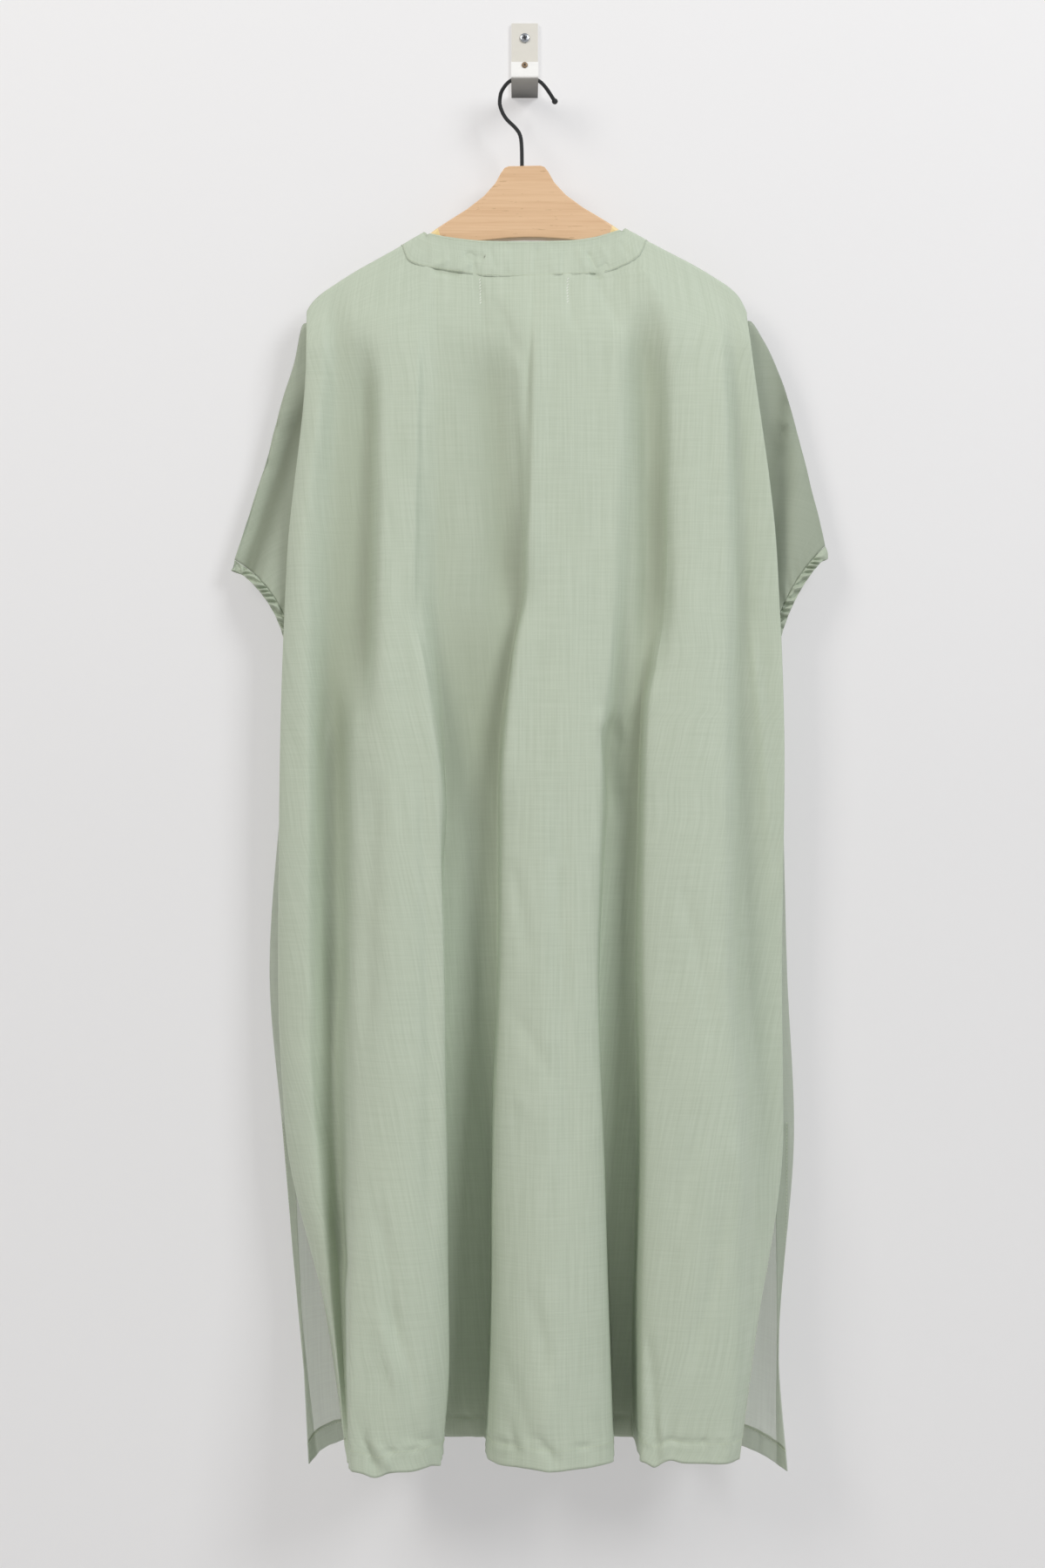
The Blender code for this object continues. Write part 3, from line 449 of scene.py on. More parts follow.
@dataclass
class PanelForm:
    """A body panel on its fold table: over the shoulders, down the body and to the hem."""

    folds: Sequence[Fold]
    neckline: Sequence
    side: Side
    refine: int
    roll_rows: int = 8
    yoke_rows: int = 40
    body_rows: int = 84
    skirt_rows: int = 22
    hem_rows: int = 12
    hem_zone: float = 30.0
    yoke_tighter: float = 1.3
    seam_run: float = 6.0

    def __post_init__(self) -> None:
        """Works out the grid's rows and columns."""
        self.steps = [fold.steps * self.refine for fold in self.folds[:-1]]
        self.sign = self.side.value
        self.yoke_shares = (np.arange(1, self.yoke_rows + 1) / self.yoke_rows) ** self.yoke_tighter
        skirt = SLIT_Z - HEM_Z
        upper = np.linspace(0, 1 - self.hem_zone / skirt, self.skirt_rows + 1)[1:]
        lower = np.linspace(upper[-1], 1, self.hem_rows + 1)[1:]
        self.skirt_shares = np.concatenate([upper, lower])
        self.levels = np.linspace(YOKE_Z, SLIT_Z, self.body_rows + 1)[1:]

    def neck_share(self, across: np.ndarray) -> np.ndarray:
        """1 inside the neckline, 0 on the shoulders, at places across the top edge."""
        return ease((NECK_END - np.abs(across)) / (NECK_END - NECK_FLAT))

    def roll(self, across: np.ndarray) -> np.ndarray:
        """Args:
            across: places across the top edge.
        Returns:
            Rows of points over the roll of the shoulder, or down from the neckline.
        """
        across = np.atleast_1d(np.asarray(across, float))
        share = self.neck_share(across)
        ridge = shoulder_z(across)
        height, depth = read(self.neckline, 1, across), read(self.neckline, 2, across)
        rows = []
        for part in np.linspace(0, 1, self.roll_rows):
            turn = (part + (1 - part) * np.minimum(1.0, ROLL_LEAD * share)) * math.pi / 2
            roll_depth = HANGER_DEPTH + self.sign * (SEAM_GAP / 2 + ROLL_RADIUS * np.sin(turn))
            roll_height = ridge - ROLL_RADIUS * (1 - np.cos(turn) + part * share)
            blend = share * share
            flat_height = height - ROLL_RADIUS * part
            out = roll_depth + (depth - roll_depth) * blend
            rows.append(np.column_stack([across, out, roll_height + (flat_height - roll_height) * blend]))
        return np.array(rows)

    def seam_roll(self, across: float) -> np.ndarray:
        """Args:
            across: the place of the side seam's upper end.
        Returns:
            The seam's first rows, which hang below the shoulder's tip.
        """
        tip = float(shoulder_z(TIP_LEFT if across < 0 else TIP_RIGHT)[0])
        depth = HANGER_DEPTH + self.sign * LIP_OPEN / 2
        heights = tip - SEAM_TOP_DROP - self.seam_run * np.linspace(0, 1, self.roll_rows)
        return np.column_stack([np.full_like(heights, across), np.full_like(heights, depth), heights])

    def line(self, index: int) -> np.ndarray:
        """Args:
            index: which fold.
        Returns:
            All rows of points along that fold.
        """
        fold = self.folds[index]
        seam = index in (0, len(self.folds) - 1)
        top = self.seam_roll(fold.top) if seam else self.roll(np.array([fold.top]))[:, 0]
        start = top[-1]
        low = HEM_Z - fold.drop
        heights = np.array([start[2], *STATION_Z[:-1], low])
        places = [start[:2]]
        for (across, depth), height in zip(fold.stations(), STATION_Z):
            if seam and height >= SLIT_Z - 1:
                depth = depth + self.sign * float(lip_opening(height)) / 2
            places.append((across, depth))
        yoke = start[2] + (YOKE_Z - start[2]) * self.yoke_shares
        wanted = np.concatenate([yoke, self.levels, SLIT_Z + (low - SLIT_Z) * self.skirt_shares])
        found = smooth(-heights, places, -wanted)
        if seam:
            found = self.seam_line(fold, found, wanted, -heights, places)
        return np.vstack([top, np.column_stack([found, wanted])])

    def seam_line(
        self, fold: Fold, found: np.ndarray, wanted: np.ndarray, order: np.ndarray, places: list
    ) -> np.ndarray:
        """A seam edge follows one line for both panels down to the slit, and its own table below it.

        Args:
            fold: the seam's fold row.
            found: the points so far.
            wanted: their heights.
            order: the stations' heights, turned to rise.
            places: the stations' (across, depth).
        Returns:
            The points on the seam.
        """
        middle = smooth(-np.asarray(STATION_Z[:5]), fold.stations()[:5], -wanted)
        shared = (wanted <= YOKE_Z) & (wanted >= SLIT_Z)
        found[shared] = middle[shared]
        found[shared, 1] += self.sign * lip_opening(wanted[shared]) / 2
        below = wanted < SLIT_Z
        found[below] = smooth(order[5:], places[5:], -wanted)[below]
        return found

    def surface(self) -> Surface:
        """Returns:
            The panel's fine middle surface.
        """
        lines = np.stack([self.line(index) for index in range(len(self.folds))])
        inside = slice(self.steps[0] + 1, sum(self.steps) - self.steps[-1])
        rows = []
        start = None
        for row in range(lines.shape[1]):
            ring = lines[:, row]
            chord = np.concatenate([[0], np.cumsum(np.linalg.norm(np.diff(ring, axis=0), axis=1))])
            places = [
                chord[i] + (chord[i + 1] - chord[i]) * k / steps
                for i, steps in enumerate(self.steps)
                for k in range(steps)
            ]
            found = smooth(chord, ring, [*places, chord[-1]])
            yoke_row = row - self.roll_rows
            if yoke_row < 0:
                found[inside] = self.roll(found[inside, 0])[row]
                start = found[inside, 2].copy()
            elif yoke_row < self.yoke_rows:
                found[inside, 2] = start + (YOKE_Z - start) * self.yoke_shares[yoke_row]
            rows.append(found)
        points = np.array(rows)
        normals = grid_normals(points)
        if normals[:, :, 1].mean() * self.sign < 0:
            normals = -normals
        straight = self.neck_share(points[: self.roll_rows, :, 0])[..., None]
        outward = np.array((0.0, self.sign, 0.0))
        normals[: self.roll_rows] = unit(normals[: self.roll_rows] * (1 - straight) + outward * straight)
        return Surface(points, normals)


# Shares of a crease's length over which it starts and ends.
CREASE_STARTS, CREASE_ENDS = 0.22, 0.28


def crease_rise(across: np.ndarray, height: np.ndarray, crease: Crease) -> np.ndarray:
    """Args:
        across: places across the cloth.
        height: their heights.
        crease: one crease.
    Returns:
        How far that crease lifts each place.
    """
    run = np.array((crease.x1 - crease.x0, crease.z1 - crease.z0))
    length = float(np.linalg.norm(run))
    run = run / length
    dx, dz = across - crease.x0, height - crease.z0
    along = (dx * run[0] + dz * run[1]) / length
    off = dz * run[0] - dx * run[1] - crease.bow * 4 * along * (1 - along)
    width = crease.width * np.where(off > 0, 1 + crease.skew, 1 - crease.skew)
    taper = ease(along / CREASE_STARTS) * ease((1 - along) / CREASE_ENDS)
    return crease.rise * taper * np.exp(-((off / width) ** 2))


def creased(surface: Surface, creases: Sequence[Crease], fade: np.ndarray | float = 1.0) -> Surface:
    """Args:
        surface: a cloth's middle.
        creases: the listed creases.
        fade: 0 where a place takes no crease.
    Returns:
        The surface with its creases and fresh directions.
    """
    across, height = surface.points[..., 0], surface.points[..., 2]
    rise = np.zeros_like(across)
    for crease in creases:
        rise += crease_rise(across, height, crease)
    return refreshed(surface.moved(rise * fade))


def refreshed(surface: Surface) -> Surface:
    """Args:
        surface: a surface whose points have moved.
    Returns:
        The same points with directions square to them, on the side they had.
    """
    normals = grid_normals(surface.points, surface.wrap)
    flip = np.sign((normals * surface.normals).sum(axis=2, keepdims=True).sum())
    return Surface(surface.points, normals * flip, surface.wrap)


def crease_rows(*rows: tuple[float, ...]) -> tuple[Crease, ...]:
    """Rows of x0, z0, x1, z1, rise, width and, where it isn't 0, bow and skew."""
    return tuple(Crease(*row) for row in rows)


# Creases

BACK_CREASES = crease_rows(
    # edges of the long folds
    (-100, -275, -106, -600, 3.3, 9.0, 0.0, -0.55), (-105, -560, -74, -800, 3.6, 8.0, 4.0, -0.55),
    (9, -262, 3, -560, 3.9, 8.0, 2.0, 0.6), (3, -540, -20, -760, 4.5, 8.0, -3.0, 0.6),
    (-34, -290, -12, -600, -7.0, 18.0, 0.0, -0.2), (-153, -280, -161, -690, -14.0, 15.0),
    (111, -250, 121, -650, -13.0, 14.0, 3.0), (76, -655, 86, -760, -4.5, 9.0, 0.0, 0.4),
    (184, -290, 201, -640, 2.4, 8.0, 0.0, -0.4), (-181, -620, -176, -980, -4.5, 12.0),
    (-140, -700, -150, -1000, -2.4, 9.0), (-98, -650, -88, -1180, -2.2, 8.0, 3.0, 0.3),
    (34, -700, 44, -1120, -2.7, 9.0, -4.0), (212, -557, 236, -850, 3.0, 4.5, 3.0, 0.3),
    # centre back and the pull below the strip
    (9, -236, -1, -392, -1.3, 4.0, 2.0), (-29, -262, -3, -326, -1.1, 5.5, 1.5),
    (-10, -312, 0, -352, 0.8, 5.0), (-44, -246, -36, -300, -1.5, 4.0, 1.0),
    (40, -243, 48, -300, -1.3, 4.5, -1.0), (64, -240, 92, -300, -1.5, 6.0, 2.0),
    (-41.3, -243, -41.3, -270, -0.9, 1.6), (41.5, -243, 41.5, -268, -0.7, 1.6),
    (-90, -236, -57, -241.5, -2.5, 2.4, 0.0, 0.3), (62, -239, 74, -243, -2.7, 2.4),
    # waist and knee
    (68, -640, 92, -690, -2.4, 5.0, 3.0, 0.3), (90, -640, 60, -672, 1.9, 5.0, 2.0),
    (120, -600, 104, -640, -1.5, 6.0, 1.0), (-14, -790, 4, -900, -1.7, 7.0, 3.0),
    (-16, -930, 30, -1010, -1.7, 7.0, 5.0), (-12, -1004, 10, -1030, 1.5, 6.0),
    (140, -800, 176, -980, -1.7, 8.0, 5.0), (128, -1120, 168, -1010, -1.9, 9.0, -6.0),
    (150, -1260, 186, -1100, -2.3, 8.0, -6.0, 0.2), (186, -1040, 206, -1130, 2.3, 8.0, 3.0),
    (-140, -1100, -118, -1260, -3.2, 8.0, 6.0, 0.3), (-136, -1184, -96, -1290, -3.6, 5.0, 6.0, 0.3),
    (-137, -1201, -113, -1288, 2.8, 3.6, 3.0), (-130, -1246, -113, -1285, -2.3, 3.5),
    (-104, -1236, -84, -1330, 1.7, 5.0, 4.0), (-154, -1296, -134, -1346, -3.4, 3.4, 2.0, 0.4),
    (0, -1180, 24, -1290, -2.4, 7.0, 5.0), (-149, -1302, -118, -1346, 2.6, 4.0, 2.0),
    (-118, -1306, -74, -1322, -1.8, 4.0, -2.0), (6, -1312, 32, -1344, -2.6, 4.5, 3.0),
    (-22, -1296, -6, -1338, -2.2, 4.0, 2.0), (124, -1290, 128, -1346, 2.4, 4.0),
    (30, -1240, 14, -1330, 1.7, 7.0), (-20, -1250, 6, -1335, -1.7, 6.0, 3.0),
    (112, -1220, 122, -1345, -2.3, 5.0, 0.0, 0.3), (-182, -1110, -168, -1190, -3.3, 6.0, 0.0, 0.3),
    (-206, -930, -188, -1080, -2.4, 7.0, 4.0), (234, -770, 244, -826, -2.7, 3.5, 0.0, 0.3),
    (-52, -700, -48, -1330, -2.7, 16.0),
)

NECK_CREASES = crease_rows(
    (-60, -220, -36, -224, -1.6, 3.2, 0.0, 0.2), (-53, -216, -47, -240, -1.3, 2.6, 1.0),
    (-70, -224, -88, -233, 1.2, 3.2), (-35, -212, -27, -238, -1.0, 2.6, 1.5),
    (-64, -236, -50, -228, 0.9, 3.0), (-18, -212, -15, -240, 0.7, 3.2),
    (12, -212, 10, -240, -0.9, 2.8, -1.0), (24, -212, 26, -240, 0.6, 3.0),
    (38, -214, 34, -240, -0.7, 2.8, 1.0), (58, -216, 67, -239, -1.7, 2.6, 1.0, 0.2),
    (80, -228, 66, -239, -1.6, 2.4), (50, -212, 56, -236, 0.9, 3.0), (72, -210, 78, -226, 0.8, 3.0),
    (90, -206, 98, -222, -0.9, 3.0),
)

FRONT_CREASES = crease_rows(
    (-120, -300, -60, -420, 1.4, 14.0, 6.0), (70, -290, 130, -430, -1.4, 13.0, -5.0),
    (-30, -330, -10, -560, 1.0, 16.0, 4.0), (-150, -820, -70, -905, 1.2, 13.0, 8.0),
    (60, -1010, 140, -1120, -1.2, 12.0, -6.0), (-90, -1180, -20, -1270, 1.3, 12.0, 6.0),
)


class Sewing(NamedTuple):
    """Sizes of seams and threads, in millimetres. A lift stands off the outermost layer of cloth."""

    cloth: float = 0.4
    hem: float = 19.5
    hem_over: float = 1.0
    layer_gap: float = 0.25
    slit_gap: float = 0.2
    strip_gap: float = 0.45
    slit_allowance: float = 14.0
    slit_line: float = 2.0
    hem_line: float = 1.5
    lift: float = 0.05
    inside_lift: float = 0.35
    overlock_lift: float = 0.4
    strip_lift: float = 0.35
    label_lift: float = 0.08
    thread_radius: float = 0.2
    stitch: float = 2.3
    stitch_gap: float = 1.0


SEWING = Sewing()


@dataclass
class SleeveForm:
    """A flat hanging sleeve, from the armhole between the seam edges down to the cuff."""

    edge: Sequence[Pair]
    corner: Pair
    bow: float
    fold: tuple[Pair, Pair]
    seam: np.ndarray
    fold_depth: float = 10.0
    fold_width: float = 13.0
    rings: int = 70
    half_points: int = 60
    armhole_run: float = 0.14
    lips_open: float = 60.0
    fold_starts: Pair = (3.0, 4.0)

    def seam_across(self, height: np.ndarray) -> np.ndarray:
        """The seam's place across, at heights on the armhole."""
        return np.interp(-height, -self.seam[:, 2], self.seam[:, 0])

    def surface(self) -> Surface:
        """Returns:
            The sleeve's middle surface, as rings round both layers.
        """
        edge = np.asarray(self.edge, float)
        parts = np.linspace(0, 1, self.rings)
        upper = smooth(np.linspace(0, 1, len(edge)), edge, parts)
        turn = np.linspace(0, math.pi, self.half_points)
        shares = (1 - np.cos(turn)) / 2
        heights = edge[0, 1] + (ARMHOLE_BOTTOM - edge[0, 1]) * shares
        start = np.array((float(self.seam_across(np.array([ARMHOLE_BOTTOM]))[0]), ARMHOLE_BOTTOM))
        rings = []
        for part, top in zip(parts, upper):
            lower = start + (np.asarray(self.corner) - start) * part
            line = lower - top
            normal = unit(np.array((-line[1], line[0])))
            normal *= -np.sign(normal[0] * edge[-1, 0])
            straight = top + line * shares[:, None]
            straight = straight + normal * (self.bow * part * 4 * shares * (1 - shares))[:, None]
            armhole = np.column_stack([self.seam_across(heights), heights])
            near = float(ease(part / self.armhole_run))
            place = armhole + (straight - armhole) * near
            middle, half = self.layers(heights, shares, part)
            dip = self.fold_dip(place, part)
            back = np.column_stack([place[:, 0], middle + half - dip, place[:, 1]])
            front = np.column_stack([place[:, 0], middle - half, place[:, 1]])
            rings.append(np.vstack([back, front[-2:0:-1]]))
        points = np.array(rings)
        normals = grid_normals(points, True)
        if normals[-1, self.half_points // 2, 1] < 0:
            normals = -normals
        return Surface(points, normals, True)

    def layers(self, heights: np.ndarray, shares: np.ndarray, part: float) -> tuple[np.ndarray, np.ndarray]:
        """Args:
            heights: heights of the armhole's points.
            shares: how far down the ring each point lies.
            part: how far along the sleeve the ring lies.
        Returns:
            Middle depth, and half the space between the two layers.
        """
        opening = lip_opening(heights)
        seam_depth = np.interp(-heights, -self.seam[:, 2], self.seam[:, 1])
        lips = ease(np.minimum(shares, 1 - shares) * self.lips_open)
        opened = np.maximum(opening / 2 - LIP_STEP, 0.0) * lips
        filled = SLEEVE_HALF * np.sqrt(np.maximum(1 - np.abs(2 * shares - 1) ** 2, 0))
        filling = float(ease(part / SLEEVE_FILL_RUN))
        middle = seam_depth - opening / 2
        hanging = SLEEVE_DEPTH + SLEEVE_TILT * (2 * shares - 1)
        return middle + (hanging - middle) * filling, opened + (filled - opened) * filling

    def fold_dip(self, place: np.ndarray, part: float) -> np.ndarray:
        """Args:
            place: points across and up.
            part: how far along the sleeve they lie.
        Returns:
            How far the long fold presses the room side in.
        """
        start, end = (np.asarray(point, float) for point in self.fold)
        run = end - start
        along = ((place - start) @ run) / (run @ run)
        off = np.linalg.norm(place - start - along[:, None] * run, axis=1)
        starts = ease(along * self.fold_starts[0]) * ease(part * self.fold_starts[1])
        return self.fold_depth * starts * np.exp(-((off / self.fold_width) ** 2))

    def away(self) -> np.ndarray:
        """Returns:
            The direction straight out of the sleeve's mouth.
        """
        line = np.asarray(self.corner) - np.asarray(self.edge[-1])
        out = np.array((-line[1], 0.0, line[0])) / np.linalg.norm(line)
        return out * np.sign(out[0] * self.edge[-1][0])


# Meshes


def world(points: np.ndarray) -> np.ndarray:
    """Across, depth and height in millimetres, turned to x, y and z in metres."""
    return np.stack([points[..., 0], -points[..., 1], points[..., 2]], axis=-1) * MM


def add_piece(name: str, mesh: bpy.types.Mesh, finish: bpy.types.Material | None) -> bpy.types.Object:
    """Args:
        name: the piece's name.
        mesh: its mesh, in place.
        finish: its material, unless the mesh has one.
    Returns:
        The piece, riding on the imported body.
    """
    obj = bpy.data.objects.new(name, mesh)
    bpy.context.scene.collection.objects.link(obj)
    if finish is not None:
        mesh.materials.clear()
        mesh.materials.append(finish)
    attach(obj, "root")
    log.info("%s: %d faces", name, len(mesh.polygons))
    return obj


def grid_faces(rows: int, columns: int, wrap: bool) -> np.ndarray:
    """Args:
        rows: rows of points.
        columns: columns of points.
        wrap: whether the last column joins the first.
    Returns:
        Four corners for each cell.
    """
    i, j = np.meshgrid(np.arange(rows - 1), np.arange(columns if wrap else columns - 1), indexing="ij")
    i, j = i.ravel(), j.ravel()
    here, below, after = i * columns, (i + 1) * columns, (j + 1) % columns
    return np.column_stack([here + j, here + after, below + after, below + j])


def border_loop(rows: int, columns: int) -> np.ndarray:
    """Args:
        rows: rows of points.
        columns: columns of points.
    Returns:
        The points round the grid's border, in order.
    """
    top = np.arange(columns)
    right = np.arange(1, rows) * columns + columns - 1
    bottom = (rows - 1) * columns + np.arange(columns - 2, -1, -1)
    left = np.arange(rows - 2, 0, -1) * columns
    return np.concatenate([top, right, bottom, left])


def mark(mesh: bpy.types.Mesh, name: str, values: np.ndarray) -> None:
    """Writes an attribute on both sides of a shell.

    Args:
        mesh: the shell.
        name: the attribute's name.
        values: a number for each point of the cloth's middle, or a direction in a third axis.
    """
    vector = values.ndim == 3
    layer = mesh.attributes.new(name, "FLOAT_VECTOR" if vector else "FLOAT", "POINT")
    layer.data.foreach_set("vector" if vector else "value", np.tile(values.ravel(), 2))


def shell_mesh(name: str, surface: Surface, thickness: float) -> bpy.types.Mesh:
    """A closed thin shell round a surface, with its cloth map in metres.

    Args:
        name: the mesh's name.
        surface: the middle of the cloth.
        thickness: the cloth's thickness in millimetres.
    Returns:
        The mesh.
    """
    rows, columns = surface.points.shape[:2]
    count = rows * columns
    outer = world(surface.moved(thickness / 2).points).reshape(-1, 3)
    inner = world(surface.moved(-thickness / 2).points).reshape(-1, 3)
    faces = grid_faces(rows, columns, surface.wrap)
    rims = [border_loop(rows, columns)]
    if surface.wrap:
        rims = [np.arange(columns), (rows - 1) * columns + np.arange(columns)[::-1]]
    rim_faces = [
        np.column_stack([np.roll(rim, -1), rim, rim + count, np.roll(rim, -1) + count]) for rim in rims
    ]
    quads = np.concatenate([faces, faces[:, ::-1] + count, *rim_faces])
    mesh = bpy.data.meshes.new(name)
    mesh.from_pydata(np.vstack([outer, inner]).tolist(), [], quads.tolist())
    chart = surface.cloth_map().reshape(-1, 2) * MM
    layer = mesh.uv_layers.new(name="cloth")
    corners = np.empty(len(mesh.loops), np.int32)
    mesh.loops.foreach_get("vertex_index", corners)
    layer.data.foreach_set("uv", chart[corners % count].ravel())
    mesh.shade_smooth()
    bm = bmesh.new()
    bm.from_mesh(mesh)
    bmesh.ops.recalc_face_normals(bm, faces=bm.faces)
    bm.to_mesh(mesh)
    bm.free()
    return mesh


# Shaders

# Blender's wave texture multiplies its coordinate by this before the sine.
WAVE_RATE = 20.0


class Nodes:
    """A node tree, built by named steps."""

    def __init__(self, tree: bpy.types.NodeTree) -> None:
        """Takes the tree that the steps add to."""
        self.tree = tree

    def add(self, kind: str, feeds: Feeds | None = None, **settings: str) -> bpy.types.Node:
        """Args:
            kind: the node's type.
            feeds: names or numbers of inputs, and what each takes.
            settings: its properties.
        Returns:
            The new node.
        """
        node = self.tree.nodes.new(kind)
        for key, value in settings.items():
            setattr(node, key, value)
        self.feed(node, feeds or {})
        return node

    def feed(self, node: bpy.types.Node, feeds: Feeds) -> None:
        """Args:
            node: the node.
            feeds: names or numbers of its inputs, and the output socket, number or colour that each takes.
        """
        for key, value in feeds.items():
            target = node.inputs[key]
            if isinstance(value, Socket):
                self.tree.links.new(value, target)
            else:
                target.default_value = (*value, 1.0) if target.type == "RGBA" else value

    def math(self, operation: str, first: Value, second: Value = 0.0) -> Socket:
        """Args:
            operation: the math node's operation.
            first: a socket or number.
            second: a socket or number.
        Returns:
            The result.
        """
        return self.add("ShaderNodeMath", {0: first, 1: second}, operation=operation).outputs[0]


class Shader(Nodes):
    """A material's node tree."""

    def __init__(self, name: str) -> None:
        """Makes the named material."""
        self.material = bpy.data.materials.new(name)
        self.material.use_nodes = True
        super().__init__(self.material.node_tree)
        self.principled = self.tree.nodes["Principled BSDF"]
        self.output = self.tree.nodes["Material Output"]

    def base(self, colour: Colour, roughness: float, metallic: float = 0.0, **sockets: Value) -> None:
        """Args:
            colour: base colour, linear.
            roughness: the surface's roughness.
            metallic: 1 for bare metal.
            sockets: other inputs, as in shine.
        """
        self.shine(Base_Color=colour, Roughness=roughness, Metallic=metallic, **sockets)

    def place(self, source: str, scale: Colour) -> Socket:
        """Args:
            source: "UV" for the cloth map or "Object" for the piece's own place.
            scale: how much each coordinate is stretched.
        Returns:
            The stretched coordinates.
        """
        whole = self.add("ShaderNodeTexCoord").outputs[source]
        return self.add("ShaderNodeMapping", {"Vector": whole, "Scale": scale}).outputs["Vector"]

    def spot(self) -> bpy.types.NodeOutputs:
        """Returns:
            The piece's own X, Y and Z as three numbers.
        """
        whole = self.add("ShaderNodeTexCoord").outputs["Object"]
        return self.add("ShaderNodeSeparateXYZ", {0: whole}).outputs

    def noise(self, source: str, scale: Colour, detail: float) -> Socket:
        """Args:
            source: "UV" or "Object".
            scale: noise cells for each unit of each coordinate.
            detail: octaves.
        Returns:
            The noise's value.
        """
        feeds = {"Vector": self.place(source, scale), "Scale": 1.0, "Detail": detail}
        return self.add("ShaderNodeTexNoise", feeds).outputs["Fac"]

    def ramp(self, value: Socket, stops: Sequence[tuple[float, Colour]]) -> Socket:
        """Args:
            value: a value from 0 to 1.
            stops: places and linear colours.
        Returns:
            The colour for the value.
        """
        node = self.add("ShaderNodeValToRGB", {"Fac": value})
        elements = node.color_ramp.elements
        while len(elements) < len(stops):
            elements.new(0.5)
        for element, (place, colour) in zip(elements, stops):
            element.position = place
            element.color = (*colour, 1.0)
        return node.outputs["Color"]

    def blend(self, share: Value, first: Value, second: Value) -> Socket:
        """Args:
            share: how much of the second colour.
            first: a colour or socket.
            second: a colour or socket.
        Returns:
            The blended colour.
        """
        return self.add("ShaderNodeMix", {0: share, 6: first, 7: second}, data_type="RGBA").outputs[2]

    def both(self, share: Value, first: Socket, second: Socket) -> Socket:
        """Args:
            share: how much of the second shader.
            first: a shader.
            second: a shader.
        Returns:
            The two shaders mixed.
        """
        return self.add("ShaderNodeMixShader", {0: share, 1: first, 2: second}).outputs["Shader"]

    def bump(self, height: Socket, distance: float, strength: float, under: Socket | None = None) -> Socket:
        """Args:
            height: the bump's height, 0 to 1.
            distance: what 1 stands for, in metres.
            strength: how much of it shows.
            under: another bump's direction.
        Returns:
            The bumped direction.
        """
        feeds = {"Height": height, "Distance": distance, "Strength": strength}
        if under is not None:
            feeds["Normal"] = under
        return self.add("ShaderNodeBump", feeds).outputs["Normal"]

    def shine(self, **sockets: Value) -> None:
        """Args:
            sockets: the surface's inputs by name, with underscores for spaces, and what each takes.
        """
        self.feed(self.principled, {key.replace("_", " "): value for key, value in sockets.items()})

    def show(self, surface: Socket) -> None:
        """Shows a shader in place of the plain surface."""
        self.feed(self.output, {"Surface": surface})


@dataclass(frozen=True)
class ClothFinish:
    """Light plain-weave cloth with uneven threads, a soft sheen and a little light through it, darkened by painted
    shade in its fold valleys.
    """

    name: str = "sage_cloth"
    light: Colour = (0.60, 0.675, 0.555)
    dark: Colour = (0.53, 0.605, 0.485)
    cloud: Colour = (0.62, 0.66, 0.49)
    cloud_share: float = 0.16
    roughness: float = 0.58
    sheen: float = 0.12
    through: float = 0.08
    clear: float = 0.0
    sheen_tint: Colour = (0.85, 0.92, 0.86)
    slub: Grain = ((520.0, 14.0, 1.0), 3.0)
    weft: Grain = ((22.0, 640.0, 1.0), 2.0)
    clouds: Grain = ((14.0, 9.0, 1.0), 2.0)
    slub_share: float = 0.62
    grain_ramp: Pair = (0.34, 0.62)
    grain_bump: Pair = (0.0003, 0.5)
    thread_pitch: float = 0.00055
    thread_wander: float = 0.6
    thread_bump: Pair = (0.00008, 0.55)
    # Painted shade: in fold valleys, marked by a point attribute, the colour is mixed up to this share toward the dark
    # colour below.
    hollow_shade: float = 0.62
    painted_shade: Colour = (0.335, 0.375, 0.265)

    def build(self) -> bpy.types.Material:
        """Returns:
            The cloth's material.
        """
        shader = Shader(self.name)
        shader.base(
            self.light, self.roughness, Specular_IOR_Level=0.28, Sheen_Weight=self.sheen,
            Sheen_Roughness=0.45, Sheen_Tint=self.sheen_tint,
        )
        slub, weft, cloud = (shader.noise("UV", *grain) for grain in (self.slub, self.weft, self.clouds))
        slub = shader.math("MULTIPLY", slub, self.slub_share)
        grain = shader.math("ADD", slub, shader.math("MULTIPLY", weft, 1 - self.slub_share))
        colour = shader.ramp(grain, tuple(zip(self.grain_ramp, (self.dark, self.light))))
        colour = shader.blend(shader.math("MULTIPLY", cloud, self.cloud_share), colour, self.cloud)
        # Painted shade in the fold valleys, read from the point attribute.
        hollow_shade = shader.add("ShaderNodeAttribute", attribute_name="hollow_shade").outputs["Fac"]
        colour = shader.blend(shader.math("MULTIPLY", hollow_shade, self.hollow_shade), colour, self.painted_shade)
        bump = shader.bump(self.weave(shader), *self.thread_bump)
        bump = shader.bump(grain, *self.grain_bump, bump)
        shader.shine(Base_Color=colour, Normal=bump)
        glow = shader.add("ShaderNodeBsdfTranslucent", {"Color": colour, "Normal": bump})
        surface = shader.both(self.through, shader.principled.outputs["BSDF"], glow.outputs["BSDF"])
        if self.clear:
            open_weave = shader.add("ShaderNodeBsdfTransparent").outputs["BSDF"]
            surface = shader.both(self.clear, surface, open_weave)
        shader.show(surface)
        return shader.material

    def weave(self, shader: Shader) -> Socket:
        """Args:
            shader: the cloth's shader.
        Returns:
            The height of the crossing threads.
        """
        pitch = math.pi / (self.thread_pitch * WAVE_RATE)
        feeds = {
            "Vector": shader.place("UV", (pitch, pitch, 1.0)), "Scale": 1.0, "Distortion": self.thread_wander,
        }
        threads = [
            shader.add("ShaderNodeTexWave", feeds, wave_type="BANDS", bands_direction=way).outputs["Fac"]
            for way in "XY"
        ]
        return shader.math("MULTIPLY", *threads)


